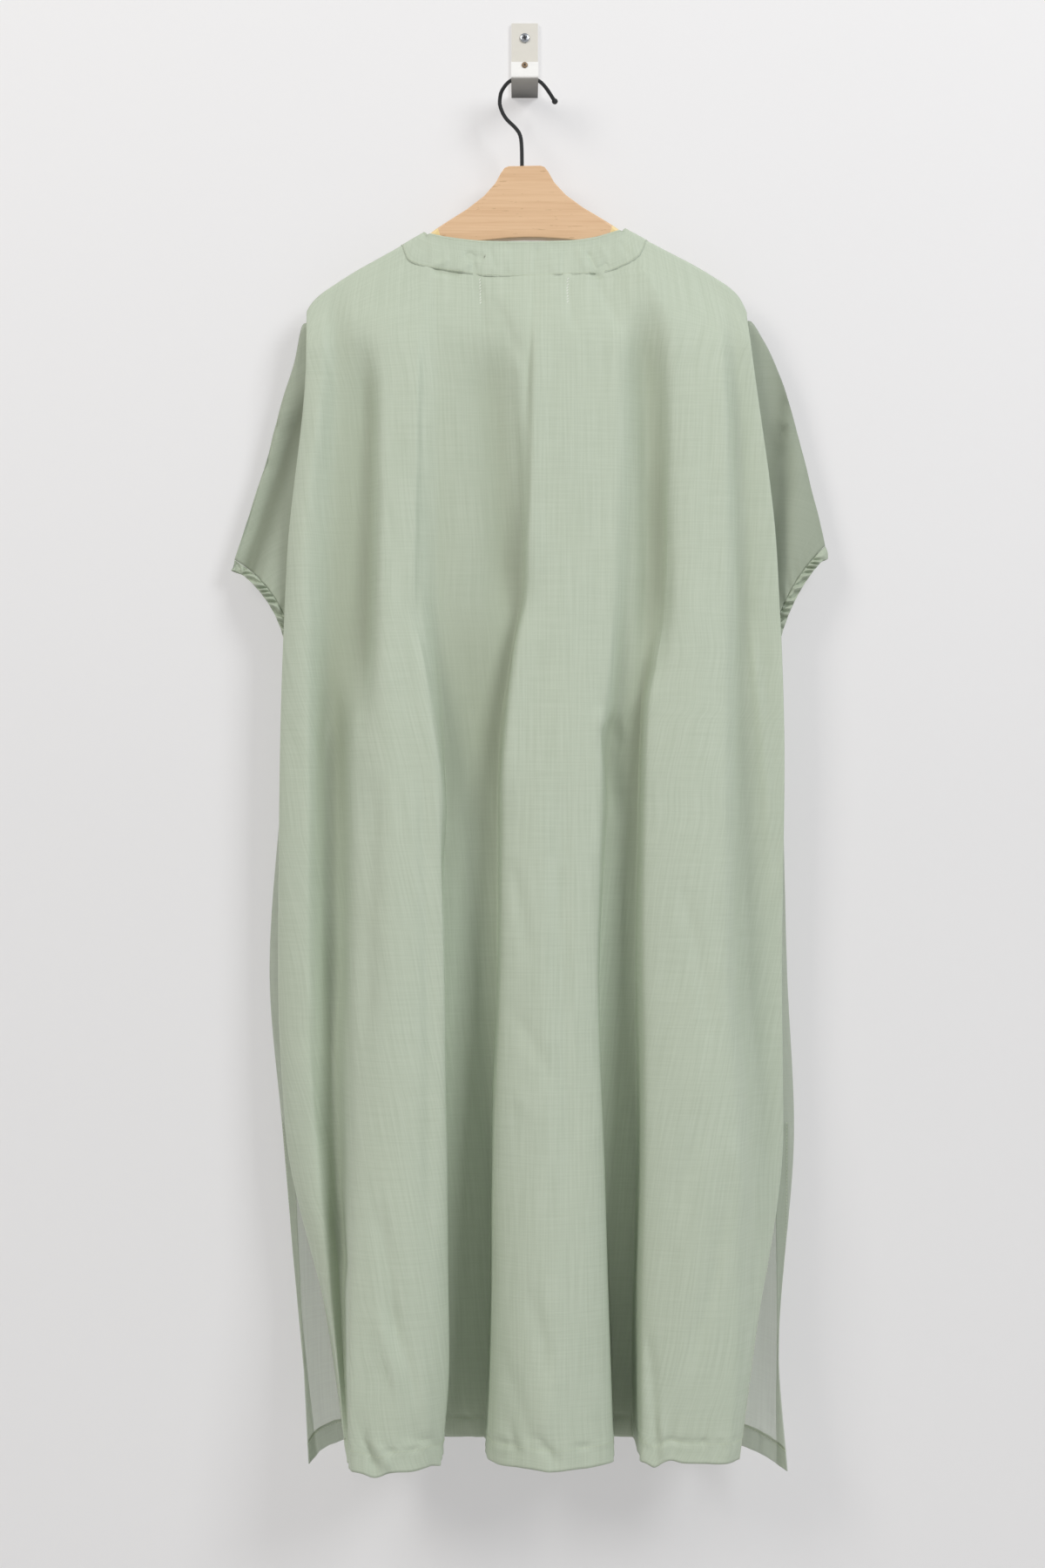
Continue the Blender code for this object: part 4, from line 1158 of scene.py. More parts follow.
@dataclass(frozen=True)
class ThreadFinish:
    """Sewing thread."""

    name: str
    colour: Colour
    roughness: float = 0.5
    twist: Grain = ((2600.0, 2600.0, 2600.0), 1.0)
    twist_bump: Pair = (0.0001, 0.4)

    def build(self) -> bpy.types.Material:
        """Returns:
            The thread's material.
        """
        shader = Shader(self.name)
        shader.base(self.colour, self.roughness, Sheen_Weight=0.2, Specular_IOR_Level=0.35)
        shader.shine(Normal=shader.bump(shader.noise("Object", *self.twist), *self.twist_bump))
        return shader.material


@dataclass(frozen=True)
class WoodFinish:
    """Pale beech with a fine grain along the hanger and a thin satin lacquer, with a painted highlight that makes the
    arms' outer parts lighter and yellower.
    """

    light: Colour = (0.80, 0.545, 0.335)
    dark: Colour = (0.72, 0.47, 0.275)
    roughness: float = 0.42
    long: Grain = ((7.0, 60.0, 210.0), 4.0)
    fine: Grain = ((26.0, 300.0, 900.0), 3.0)
    flecks: Grain = ((95.0, 500.0, 560.0), 1.0)
    grain_ramp: Pair = (0.36, 0.58)
    grain_bump: Pair = (0.0002, 0.25)
    long_share: float = 0.6
    fleck: Colour = (0.42, 0.25, 0.12)
    fleck_from: float = 0.72
    fleck_share: float = 0.35
    # Painted highlight: the arms' outer parts, past a slanted line, are painted lighter and yellower.
    end_highlight: Colour = (0.90, 0.69, 0.34)
    end_highlight_at: float = 0.1405
    end_highlight_slant: float = -0.3
    lacquer: float = 0.25

    def build(self) -> bpy.types.Material:
        """Returns:
            The wood's material.
        """
        shader = Shader("pale_beech_grain")
        shader.base(
            self.light, self.roughness, Coat_Weight=self.lacquer, Coat_Roughness=0.25, Specular_IOR_Level=0.4
        )
        long, fine, flecks = (shader.noise("Object", *grain) for grain in (self.long, self.fine, self.flecks))
        long = shader.math("MULTIPLY", long, self.long_share)
        grain = shader.math("ADD", long, shader.math("MULTIPLY", fine, 1 - self.long_share))
        colour = shader.ramp(grain, tuple(zip(self.grain_ramp, (self.dark, self.light))))
        # Painted highlight on the arms' outer parts.
        spot = shader.spot()
        slant = shader.math("MULTIPLY", spot["Z"], self.end_highlight_slant)
        out = shader.math("ADD", shader.math("ABSOLUTE", spot["X"]), slant)
        colour = shader.blend(shader.math("GREATER_THAN", out, self.end_highlight_at), colour, self.end_highlight)
        flecks = shader.math("GREATER_THAN", flecks, self.fleck_from)
        colour = shader.blend(shader.math("MULTIPLY", flecks, self.fleck_share), colour, self.fleck)
        shader.shine(Base_Color=colour, Normal=shader.bump(fine, *self.grain_bump))
        return shader.material


@dataclass(frozen=True)
class MetalFinish:
    """Bare or coated metal with fine marks."""

    name: str
    colour: Colour
    roughness: float
    metallic: float
    marks: Grain = ((900.0, 900.0, 60.0), 3.0)
    mark_bump: Pair = (0.00012, 0.2)
    mark_gloss: float = 0.22

    def build(self) -> bpy.types.Material:
        """Returns:
            The metal's material.
        """
        shader = Shader(self.name)
        shader.base(self.colour, self.roughness, self.metallic)
        marks = shader.noise("Object", *self.marks)
        gloss = shader.math("MULTIPLY", marks, self.mark_gloss)
        dull = shader.math("ADD", gloss, self.roughness - self.mark_gloss / 2)
        shader.shine(Roughness=dull, Normal=shader.bump(marks, *self.mark_bump))
        self.tone(shader)
        return shader.material

    def tone(self, shader: Shader) -> None:
        """Leaves the metal in its one colour, in the given shader."""


@dataclass(frozen=True)
class BarFinish(MetalFinish):
    """The bent bar: its lip is painted brighter than its plate, a painted highlight, and its underside is painted
    darker toward the wall, a painted shade.
    """

    # Painted highlight: the lip, in front of this depth, gets a brighter colour.
    lip_highlight_from: float = -0.0565
    lip: Colour = (0.985, 0.98, 0.96)
    # Painted shade: the underside, below this height, is mixed toward a near-black colour, more toward the wall.
    under_shade_below: float = -0.0566
    under: Colour = (0.03, 0.03, 0.03)
    under_shade_at_wall: float = 0.93
    under_shade_slope: float = 5.5

    def tone(self, shader: Shader) -> None:
        """Args:
            shader: the bar's shader, whose colour changes over the bar: a painted highlight on the lip and painted
                shade on the underside.
        """
        spot = shader.spot()
        colour = shader.blend(shader.math("LESS_THAN", spot["Y"], self.lip_highlight_from), self.colour, self.lip)
        # Painted shade on the underside, stronger toward the wall.
        slope = shader.math("MULTIPLY", spot["Y"], self.under_shade_slope)
        toward_wall = shader.math("ADD", slope, self.under_shade_at_wall)
        share = shader.math("MULTIPLY", shader.math("LESS_THAN", spot["Z"], self.under_shade_below), toward_wall)
        shader.shine(Base_Color=shader.blend(share, colour, self.under))


@dataclass(frozen=True)
class StageFinish:
    """A matt wall or floor. The wall shows only from the room, so it never hides the dress from behind. The wall's glow
    is painted light: it lifts the shadows on the wall and grows brighter above a height.
    """

    name: str
    colour: Colour
    hollow_back: bool = False
    # Painted light: an even glow, and more glow for each metre above a height.
    glow: float = 0.0
    glow_rise: float = 0.0
    glow_from: float = -0.75
    glow_colour: Colour = (1.0, 0.985, 0.99)
    roughness: float = 0.9
    plaster: Grain = ((30.0, 30.0, 30.0), 4.0)
    plaster_bump: Pair = (0.001, 0.05)

    def build(self) -> bpy.types.Material:
        """Returns:
            The backdrop's material.
        """
        shader = Shader(self.name)
        shader.base(
            self.colour, self.roughness, Specular_IOR_Level=0.1, Emission_Strength=self.glow,
            Emission_Color=self.glow_colour,
        )
        shader.shine(Normal=shader.bump(shader.noise("Object", *self.plaster), *self.plaster_bump))
        if self.glow_rise:
            above = shader.math("MAXIMUM", shader.math("SUBTRACT", shader.spot()["Z"], self.glow_from), 0.0)
            glow = shader.math("ADD", shader.math("MULTIPLY", above, self.glow_rise), self.glow)
            shader.shine(Emission_Strength=glow)
        if self.hollow_back:
            behind = shader.add("ShaderNodeNewGeometry").outputs["Backfacing"]
            clear = shader.add("ShaderNodeBsdfTransparent").outputs["BSDF"]
            shader.show(shader.both(behind, shader.principled.outputs["BSDF"], clear))
        return shader.material


# Geometry Nodes


class NodeGroup(Nodes):
    """A geometry node tree with named inputs."""

    def __init__(self, name: str, sizes: Sequence[str]) -> None:
        """Args:
            name: the tree's name.
            sizes: the names of its inputs for numbers. A seed and a material follow them.
        """
        super().__init__(bpy.data.node_groups.new(name, "GeometryNodeTree"))
        self.sockets: dict[str, str] = {}
        self.input("Geometry", "NodeSocketGeometry")
        self.tree.interface.new_socket("Geometry", in_out="OUTPUT", socket_type="NodeSocketGeometry")
        for size in sizes:
            self.input(size, "NodeSocketFloat")
        self.input("Seed", "NodeSocketInt")
        self.input("Material", "NodeSocketMaterial")
        self.start = self.add("NodeGroupInput").outputs
        self.end = self.add("NodeGroupOutput")

    def input(self, name: str, kind: str) -> None:
        """Adds an input with a name and a socket type."""
        socket = self.tree.interface.new_socket(name, in_out="INPUT", socket_type=kind)
        self.sockets[name] = socket.identifier

    def named(self, name: str, kind: str = "FLOAT") -> Socket:
        """Args:
            name: the attribute's name.
            kind: its type.
        Returns:
            The attribute.
        """
        node = self.add("GeometryNodeInputNamedAttribute", {"Name": name}, data_type=kind)
        return node.outputs["Attribute"]

    def close(self, geometry: Socket) -> None:
        """Realises the instances, sets the material and ends the tree.

        Args:
            geometry: the geometry to hand out.
        """
        real = self.add("GeometryNodeRealizeInstances", {"Geometry": geometry}).outputs[0]
        feeds = {"Geometry": real, "Material": self.start["Material"]}
        self.feed(self.end, {"Geometry": self.add("GeometryNodeSetMaterial", feeds).outputs[0]})

    def run(self, source: bpy.types.Object, name: str, values: dict) -> bpy.types.Mesh:
        """Args:
            source: the object that the tree runs on. It is removed.
            name: the mesh's name.
            values: the tree's inputs by name.
        Returns:
            The finished plain mesh.
        """
        modifier = source.modifiers.new("nodes", "NODES")
        modifier.node_group = self.tree
        for key, value in values.items():
            modifier[self.sockets[key]] = value
        bpy.context.view_layer.update()
        graph = bpy.context.evaluated_depsgraph_get()
        mesh = bpy.data.meshes.new_from_object(source.evaluated_get(graph), depsgraph=graph)
        mesh.name = name
        bpy.data.objects.remove(source)
        return mesh


STITCH_SIDES = 6
STITCH_JITTER = 0.12
GATHER_NOISE_SCALE = 9.0
GATHER_SWELL = 0.55


def stitch_tree() -> NodeGroup:
    """Returns:
        A tree that lays short threads end to end along each path.
    """
    group = NodeGroup("stitches", ("Length", "Gap", "Radius", "Turn"))
    start = group.start
    spacing = {"Curve": start["Geometry"], "Length": group.math("ADD", start["Length"], start["Gap"])}
    points = group.add("GeometryNodeResampleCurve", spacing, mode="LENGTH")
    sizes = {"Vertices": STITCH_SIDES, "Radius": start["Radius"], "Depth": start["Length"]}
    thread = group.add("GeometryNodeMeshCylinder", sizes, fill_type="NGON")
    tangent = group.add("GeometryNodeInputTangent").outputs["Tangent"]
    align = group.add("FunctionNodeAlignRotationToVector", {"Vector": tangent}, axis="Z")
    span = {2: -STITCH_JITTER, 3: STITCH_JITTER, "Seed": start["Seed"]}
    jitter = group.add("FunctionNodeRandomValue", span, data_type="FLOAT")
    angle = group.math("ADD", start["Turn"], jitter.outputs[1])
    turn = group.add("FunctionNodeAxisAngleToRotation", {"Axis": (0.0, 1.0, 0.0), "Angle": angle})
    both = {"Rotation": align.outputs["Rotation"], "Rotate By": turn.outputs["Rotation"]}
    rotate = group.add("FunctionNodeRotateRotation", both, rotation_space="GLOBAL")
    feeds = {
        "Points": points.outputs["Curve"], "Instance": thread.outputs["Mesh"],
        "Rotation": rotate.outputs["Rotation"],
    }
    group.close(group.add("GeometryNodeInstanceOnPoints", feeds).outputs["Instances"])
    return group


def gather_tree() -> NodeGroup:
    """Returns:
        A tree that draws a plain band up into slanting gathers, by its attributes around, across and facing.
    """
    group = NodeGroup("gathers", ("Count", "Depth", "Slant", "Uneven"))
    start, calc = group.start, group.math
    around, across = group.named("around"), group.named("across")
    feeds = {"W": calc("ADD", around, start["Seed"]), "Scale": GATHER_NOISE_SCALE, "Detail": 1.0}
    noise = group.add("ShaderNodeTexNoise", feeds, noise_dimensions="1D")
    wander = calc("MULTIPLY", calc("SUBTRACT", noise.outputs["Fac"], 0.5), start["Uneven"])
    turns = calc("ADD", calc("MULTIPLY", around, start["Count"]), wander)
    turns = calc("ADD", turns, calc("MULTIPLY", across, start["Slant"]))
    wave = calc("SINE", calc("MULTIPLY", turns, 2 * math.pi))
    swell = calc("POWER", calc("SINE", calc("MULTIPLY", across, math.pi)), GATHER_SWELL)
    size = calc("MULTIPLY", calc("MULTIPLY", wave, swell), start["Depth"])
    feeds = {0: group.named("facing", "FLOAT_VECTOR"), "Scale": size}
    offset = group.add("ShaderNodeVectorMath", feeds, operation="SCALE").outputs["Vector"]
    feeds = {"Geometry": start["Geometry"], "Offset": offset}
    group.close(group.add("GeometryNodeSetPosition", feeds).outputs["Geometry"])
    return group


def path_object(name: str, paths: Sequence[np.ndarray]) -> bpy.types.Object:
    """Args:
        name: the object's name.
        paths: rows of points, in metres.
    Returns:
        A curve object with one line for each path.
    """
    curve = bpy.data.curves.new(name, "CURVE")
    curve.dimensions = "3D"
    for path in paths:
        spline = curve.splines.new("POLY")
        spline.points.add(len(path) - 1)
        spline.points.foreach_set("co", np.column_stack([path, np.ones(len(path))]).ravel())
    obj = bpy.data.objects.new(name, curve)
    bpy.context.scene.collection.objects.link(obj)
    return obj


class Thread(Enum):
    """The threads in the dress."""

    PALE = "pale"
    OVERLOCK = "overlock"
    LABEL = "label"


@dataclass
class Workroom:
    """Finishes and node trees that the pieces share."""

    cloth: bpy.types.Material = field(default_factory=lambda: ClothFinish().build())
    # The front panel's sheer cloth lets light through and past it; its colours, lighter than the same cloth on the
    # back, are painted light.
    sheer: bpy.types.Material = field(
        default_factory=lambda: ClothFinish(
            "sage_cloth_sheer_painted_light", (0.74, 0.79, 0.71), (0.67, 0.72, 0.64), through=0.55, clear=0.5
        ).build()
    )
    # The sleeves' cloth, with stronger and darker painted shade than the body's.
    sleeve: bpy.types.Material = field(
        default_factory=lambda: ClothFinish("sage_cloth_sleeve_painted_shade", hollow_shade=0.9, painted_shade=(0.25, 0.285, 0.21)).build()
    )
    # The cuffs' cloth: the same cloth in darker colours, a painted shade.
    cuff: bpy.types.Material = field(
        default_factory=lambda: ClothFinish(
            "sage_cloth_cuff_painted_shade", (0.50, 0.565, 0.455), (0.42, 0.485, 0.375)
        ).build()
    )
    stitches: NodeGroup = field(default_factory=stitch_tree)
    gathers: NodeGroup = field(default_factory=gather_tree)

    def __post_init__(self) -> None:
        """Makes the threads."""
        self.threads = {
            Thread.PALE: ThreadFinish("pale_thread", (0.60, 0.66, 0.50)).build(),
            Thread.OVERLOCK: ThreadFinish("overlock_thread", (0.34, 0.39, 0.25)).build(),
            Thread.LABEL: ThreadFinish("label_thread", (0.88, 0.90, 0.84)).build(),
        }

    def sew(
        self, name: str, paths: Sequence[np.ndarray], thread: Thread = Thread.PALE,
        length: float = SEWING.stitch, gap: float = SEWING.stitch_gap, turn: float = 0.0, seed: int = 1,
        radius: float = SEWING.thread_radius,
    ) -> bpy.types.Object:
        """Args:
            name: the piece's name.
            paths: seam lines, in metres.
            thread: which thread.
            length: a stitch's length in millimetres.
            gap: the space between stitches in millimetres.
            turn: how far each stitch is turned off its line, in radians.
            seed: the fixed seed of small differences.
            radius: the thread's radius in millimetres.
        Returns:
            The stitches as one piece.
        """
        values = {
            "Length": length * MM, "Gap": gap * MM, "Radius": radius * MM, "Turn": turn,
            "Seed": seed, "Material": self.threads[thread],
        }
        return add_piece(name, self.stitches.run(path_object(name + "_path", paths), name, values), None)


# The dress


@dataclass
class Panel:
    """A body panel with its hem, slit allowances and stitches."""

    name: str
    form: PanelForm
    creases: Sequence[Crease]
    room: Workroom
    flat: Pair
    seed: int
    nodes: Sequence[str]
    cloth: bpy.types.Material
    dips: Sequence[tuple[float, float, float]]
    edge_fade: int = 10
    top_fade: int = 12
    hem_reach: float = 45.0
    drop_rise: float = 0.9
    drop_cell: Pair = (26.0, 10.0)
    pucker_rise: float = 1.9
    pucker_cell: Pair = (7.5, 16.0)
    pucker_band: float = 3.5
    pucker_below: float = 0.6
    groove_rise: float = -0.7
    groove_band: float = 1.8
    # The painted shade in fold valleys: how many columns count as a place's surroundings, the depth of a full valley,
    # and where and how far the painted shade fades to a small share lower down.
    hollow_reach: int = 26
    hollow_depth: float = 15.0
    hollow_fade_top: float = -600.0
    hollow_fade_run: float = 280.0
    hollow_low_share: float = 0.12
    low_rows: int = 60
    hem_steps: int = 9
    slit_steps: int = 7
    slit_start: float = 0.02
    slit_above: float = 6.0

    def __post_init__(self) -> None:
        """Finishes the panel's surface."""
        self.surface = self.finish_surface(self.form.surface())

    def finish_surface(self, plain: Surface) -> Surface:
        """Args:
            plain: the panel's form.
        Returns:
            The form with creases, puckers at the hem and an uneven hand.
        """
        rows, columns = plain.points.shape[:2]
        first, last = self.form.steps[0], columns - 1 - self.form.steps[-1]
        numbers = np.arange(columns)
        inside = ease((numbers - first) / self.edge_fade) * ease((last - numbers) / self.edge_fade)
        clear = np.ones(rows)
        clear[: self.form.roll_rows] = 0
        clear[self.form.roll_rows : self.form.roll_rows + self.top_fade] = np.linspace(0, 1, self.top_fade)
        fade = clear[:, None] * inside[None, :]
        surface = creased(plain, self.creases, fade)
        chart = surface.cloth_map()
        hand = uneven(chart, BODY_HAND, self.seed)
        above = surface.points[..., 2] - surface.points[-1, :, 2]
        surface.points[..., 2] += self.hem_drop(surface.points[..., 0]) * ease(1 - above / self.hem_reach)
        off = above - SEWING.hem
        line = np.exp(-((off / self.pucker_band) ** 2)) + self.pucker_below * ease(1 - above / SEWING.hem)
        pucker = lattice_noise(chart[..., 0], above, self.pucker_cell, self.seed + 2) * self.pucker_rise
        groove = self.groove_rise * np.exp(-((off / self.groove_band) ** 2))
        return refreshed(surface.moved((hand * fade) + (pucker * line + groove) * inside))

    def hem_drop(self, across: np.ndarray) -> np.ndarray:
        """Args:
            across: places across.
        Returns:
            How far the hem hangs off its line there.
        """
        drop = self.drop_rise * lattice_noise(across, np.zeros_like(across), self.drop_cell, self.seed + 5)
        for at, fall, width in self.dips:
            drop = drop + fall * np.exp(-(((across - at) / width) ** 2))
        return drop

    def hem_row(self, above: float) -> np.ndarray:
        """Args:
            above: a height above the panel's lower edge.
        Returns:
            The fractional row there, for each column.
        """
        z = self.surface.points[..., 2]
        target = z[-1] + above
        low = np.arange(len(z) - self.low_rows, len(z))
        return np.array([np.interp(-target[j], -z[low, j], low) for j in range(z.shape[1])])

    def build(self) -> bpy.types.Object:
        """Returns:
            The panel's main piece.
        """
        mesh = shell_mesh(self.name + "_cloth", self.surface, SEWING.cloth)
        points = self.surface.points
        # Painted shade: points in fold valleys get an attribute that darkens the cloth, less lower down.
        painted_shade = hollows(points, self.hollow_reach, self.hollow_depth) * self.form.side.value
        below = ease((self.hollow_fade_top - points[..., 2]) / self.hollow_fade_run)
        mark(mesh, "hollow_shade", (painted_shade * (1 - (1 - self.hollow_low_share) * below)).clip(0, 1))
        obj = add_piece(self.name + "_cloth", mesh, self.cloth)
        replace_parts(obj, *self.nodes)
        extras = [self.hem(), *self.hem_sewing(), *self.slit_allowances()]
        min(self.surface.area(), self.flat[0] * self.flat[1])
        return obj

    def hem(self) -> bpy.types.Object:
        """Returns:
            The turned-up hem on the inside of the panel.
        """
        columns = self.surface.points.shape[1]
        top = self.hem_row(SEWING.hem + SEWING.hem_over)
        low = self.surface.points.shape[0] - 1.0
        shares = np.linspace(0, 1, self.hem_steps)[:, None]
        rows = top[None, :] + (low - top[None, :]) * shares
        places = np.broadcast_to(np.arange(columns, dtype=float), rows.shape)
        strip = self.surface.sample(rows, places).moved(-(SEWING.cloth + SEWING.layer_gap))
        name = self.name + "_hem"
        return add_piece(name, shell_mesh(name, strip, SEWING.cloth), self.cloth)

    def line_at(self, above: float, lift: float) -> np.ndarray:
        """Args:
            above: a height above the lower edge.
            lift: how far off the cloth's middle.
        Returns:
            A line of points along the hem, in metres.
        """
        columns = np.arange(self.surface.points.shape[1], dtype=float)
        line = self.surface.sample(self.hem_row(above), columns)
        return world(line.moved(lift).points)

    def hem_sewing(self) -> list[bpy.types.Object]:
        """Returns:
            The hem's stitches outside and inside, and the overlocked edge inside.
        """
        half = SEWING.cloth / 2
        outside = self.line_at(SEWING.hem - SEWING.hem_line, half + SEWING.lift)
        inside = self.line_at(SEWING.hem - SEWING.hem_line, -(3 * half + SEWING.inside_lift))
        edge = self.line_at(SEWING.hem + OVERLOCK_ABOVE, -(3 * half + SEWING.overlock_lift))
        sew = self.room.sew
        return [
            sew(self.name + "_hem_stitches", [outside, inside], seed=self.seed),
            sew(self.name + "_overlock", [edge], Thread.OVERLOCK, **OVERLOCK, seed=self.seed + 1),
        ]

    def slit_allowances(self) -> list[bpy.types.Object]:
        """Returns:
            The turned edges along both slits, with their stitches.
        """
        made, lines = [], []
        z = self.surface.points[:, 0, 2]
        top = int(np.searchsorted(-z, -(SLIT_Z + self.slit_above)))
        rows = np.arange(top, len(z), dtype=float)
        chart = self.surface.cloth_map()[..., 0]
        for side, flip in (("left", 1), ("right", -1)):
            order = np.arange(chart.shape[1])[::flip]
            reach = np.abs(chart[:, order] - chart[:, order[:1]])
            shares = np.linspace(self.slit_start, 1, self.slit_steps)

            def columns_at(distance: float) -> np.ndarray:
                """The fractional column so far from the slit's edge, for each row."""
                found = np.array([np.interp(distance, reach[int(r)], np.arange(len(order))) for r in rows])
                return found if flip == 1 else len(order) - 1 - found

            places = np.stack([columns_at(SEWING.slit_allowance * s) for s in shares], axis=1)
            grid = np.broadcast_to(rows[:, None], places.shape)
            strip = self.surface.sample(grid, places).moved(-(SEWING.cloth + SEWING.slit_gap))
            name = f"{self.name}_slit_{side}"
            made.append(add_piece(name, shell_mesh(name, strip, SEWING.cloth), self.cloth))
            line = self.surface.sample(rows, columns_at(SEWING.slit_allowance - SEWING.slit_line))
            lines.append(world(line.moved(SEWING.cloth / 2 + SEWING.lift).points))
        made.append(self.room.sew(self.name + "_slit_stitches", lines, seed=self.seed + 3))
        return made


# Cell across and down the cloth, height: how unevenly each cloth lies.
BODY_HAND = (((34.0, 150.0), 0.7), ((15.0, 60.0), 0.3))
STRIP_HAND = (((8.0, 15.0), 1.0), ((17.0, 30.0), 0.6))
SLEEVE_HAND = (((26.0, 70.0), 0.6),)

OVERLOCK = {"length": 2.6, "gap": -1.3, "turn": 1.15}
OVERLOCK_ABOVE = 0.4
LABEL_THREAD = {"length": 2.2, "gap": 0.9, "turn": 0.7, "radius": 0.34}
STRIP_THICKER = 0.1

# Across, height: the stitched lower line of the strip round the back and the front of the neck.
BACK_STRIP_LINE = (
    (-118, -207), (-110, -226), (-90, -233), (-50, -239.5), (-34, -242), (0, -242.5), (41, -240.5),
    (70, -239), (92, -232), (108, -222), (117, -203),
)
FRONT_STRIP_LINE = (
    (-118, -207), (-113, -229), (-92, -256), (-52, -282), (0, -290), (52, -281), (92, -254), (113, -226),
    (117, -203),
)


@dataclass
class NeckFacing:
    """The topstitched strip round half the neckline."""

    name: str
    panel: Panel
    line: Sequence[Pair]
    creases: Sequence[Crease]
    room: Workroom
    flat: Pair
    across: int = 300
    down: int = 20
    bulge: float = 0.75
    wave_top: float = 0.2
    wave_rise: float = 0.25
    edge_press: float = 0.5
    edge_share: float = 0.12
    end_share: float = 0.1

    def strip(self) -> Surface:
        """Returns:
            The strip's middle, from the neck's edge to the stitched line.
        """
        cloth = self.panel.surface
        along = np.linspace(0, 1, self.across)
        upper_x = -NECK_END + 2 * NECK_END * along
        top = cloth.points[0]
        upper = np.column_stack([upper_x, np.interp(upper_x, top[:, 0], top[:, 2])])
        line = np.asarray(self.line, float)
        reach = np.concatenate([[0], np.cumsum(np.linalg.norm(np.diff(line, axis=0), axis=1))])
        lower = smooth(reach / reach[-1], line, along)
        shares = np.linspace(0, 1, self.down)[:, None, None]
        places = upper + (lower - upper) * shares
        rows, columns = cloth.find(places[..., 0], places[..., 1])
        found = cloth.sample(rows, columns)
        return refreshed(found.moved(SEWING.cloth / 2 + SEWING.strip_gap))

    def build(self) -> bpy.types.Object:
        """Returns:
            The strip, with puckers along its stitched edge.
        """
        plain = self.strip()
        shares = np.linspace(0, 1, self.down)[:, None]
        chart = plain.cloth_map()
        wave = uneven(chart, STRIP_HAND, self.panel.seed + 7)
        bulge = self.bulge * np.sin(math.pi * shares)
        edge = np.exp(-(((1 - shares) / self.edge_share) ** 2))
        along = np.linspace(0, 1, self.across)[None, :]
        inside = ease(along / self.end_share) * ease((1 - along) / self.end_share)
        lifted = (wave * (self.wave_top + self.wave_rise * shares) + bulge) * inside
        surface = creased(plain.moved(lifted - self.edge_press * edge), self.creases)
        mesh = shell_mesh(self.name, surface, SEWING.cloth + STRIP_THICKER)
        obj = add_piece(self.name + "_cloth", mesh, self.room.cloth)
        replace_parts(obj, self.name)
        raised = surface.moved(SEWING.strip_lift).points
        lines = [raised[row] for row in (1, self.down - 2)]
        stitches = self.room.sew(self.name + "_stitches", [world(line) for line in lines], seed=5)
        return obj


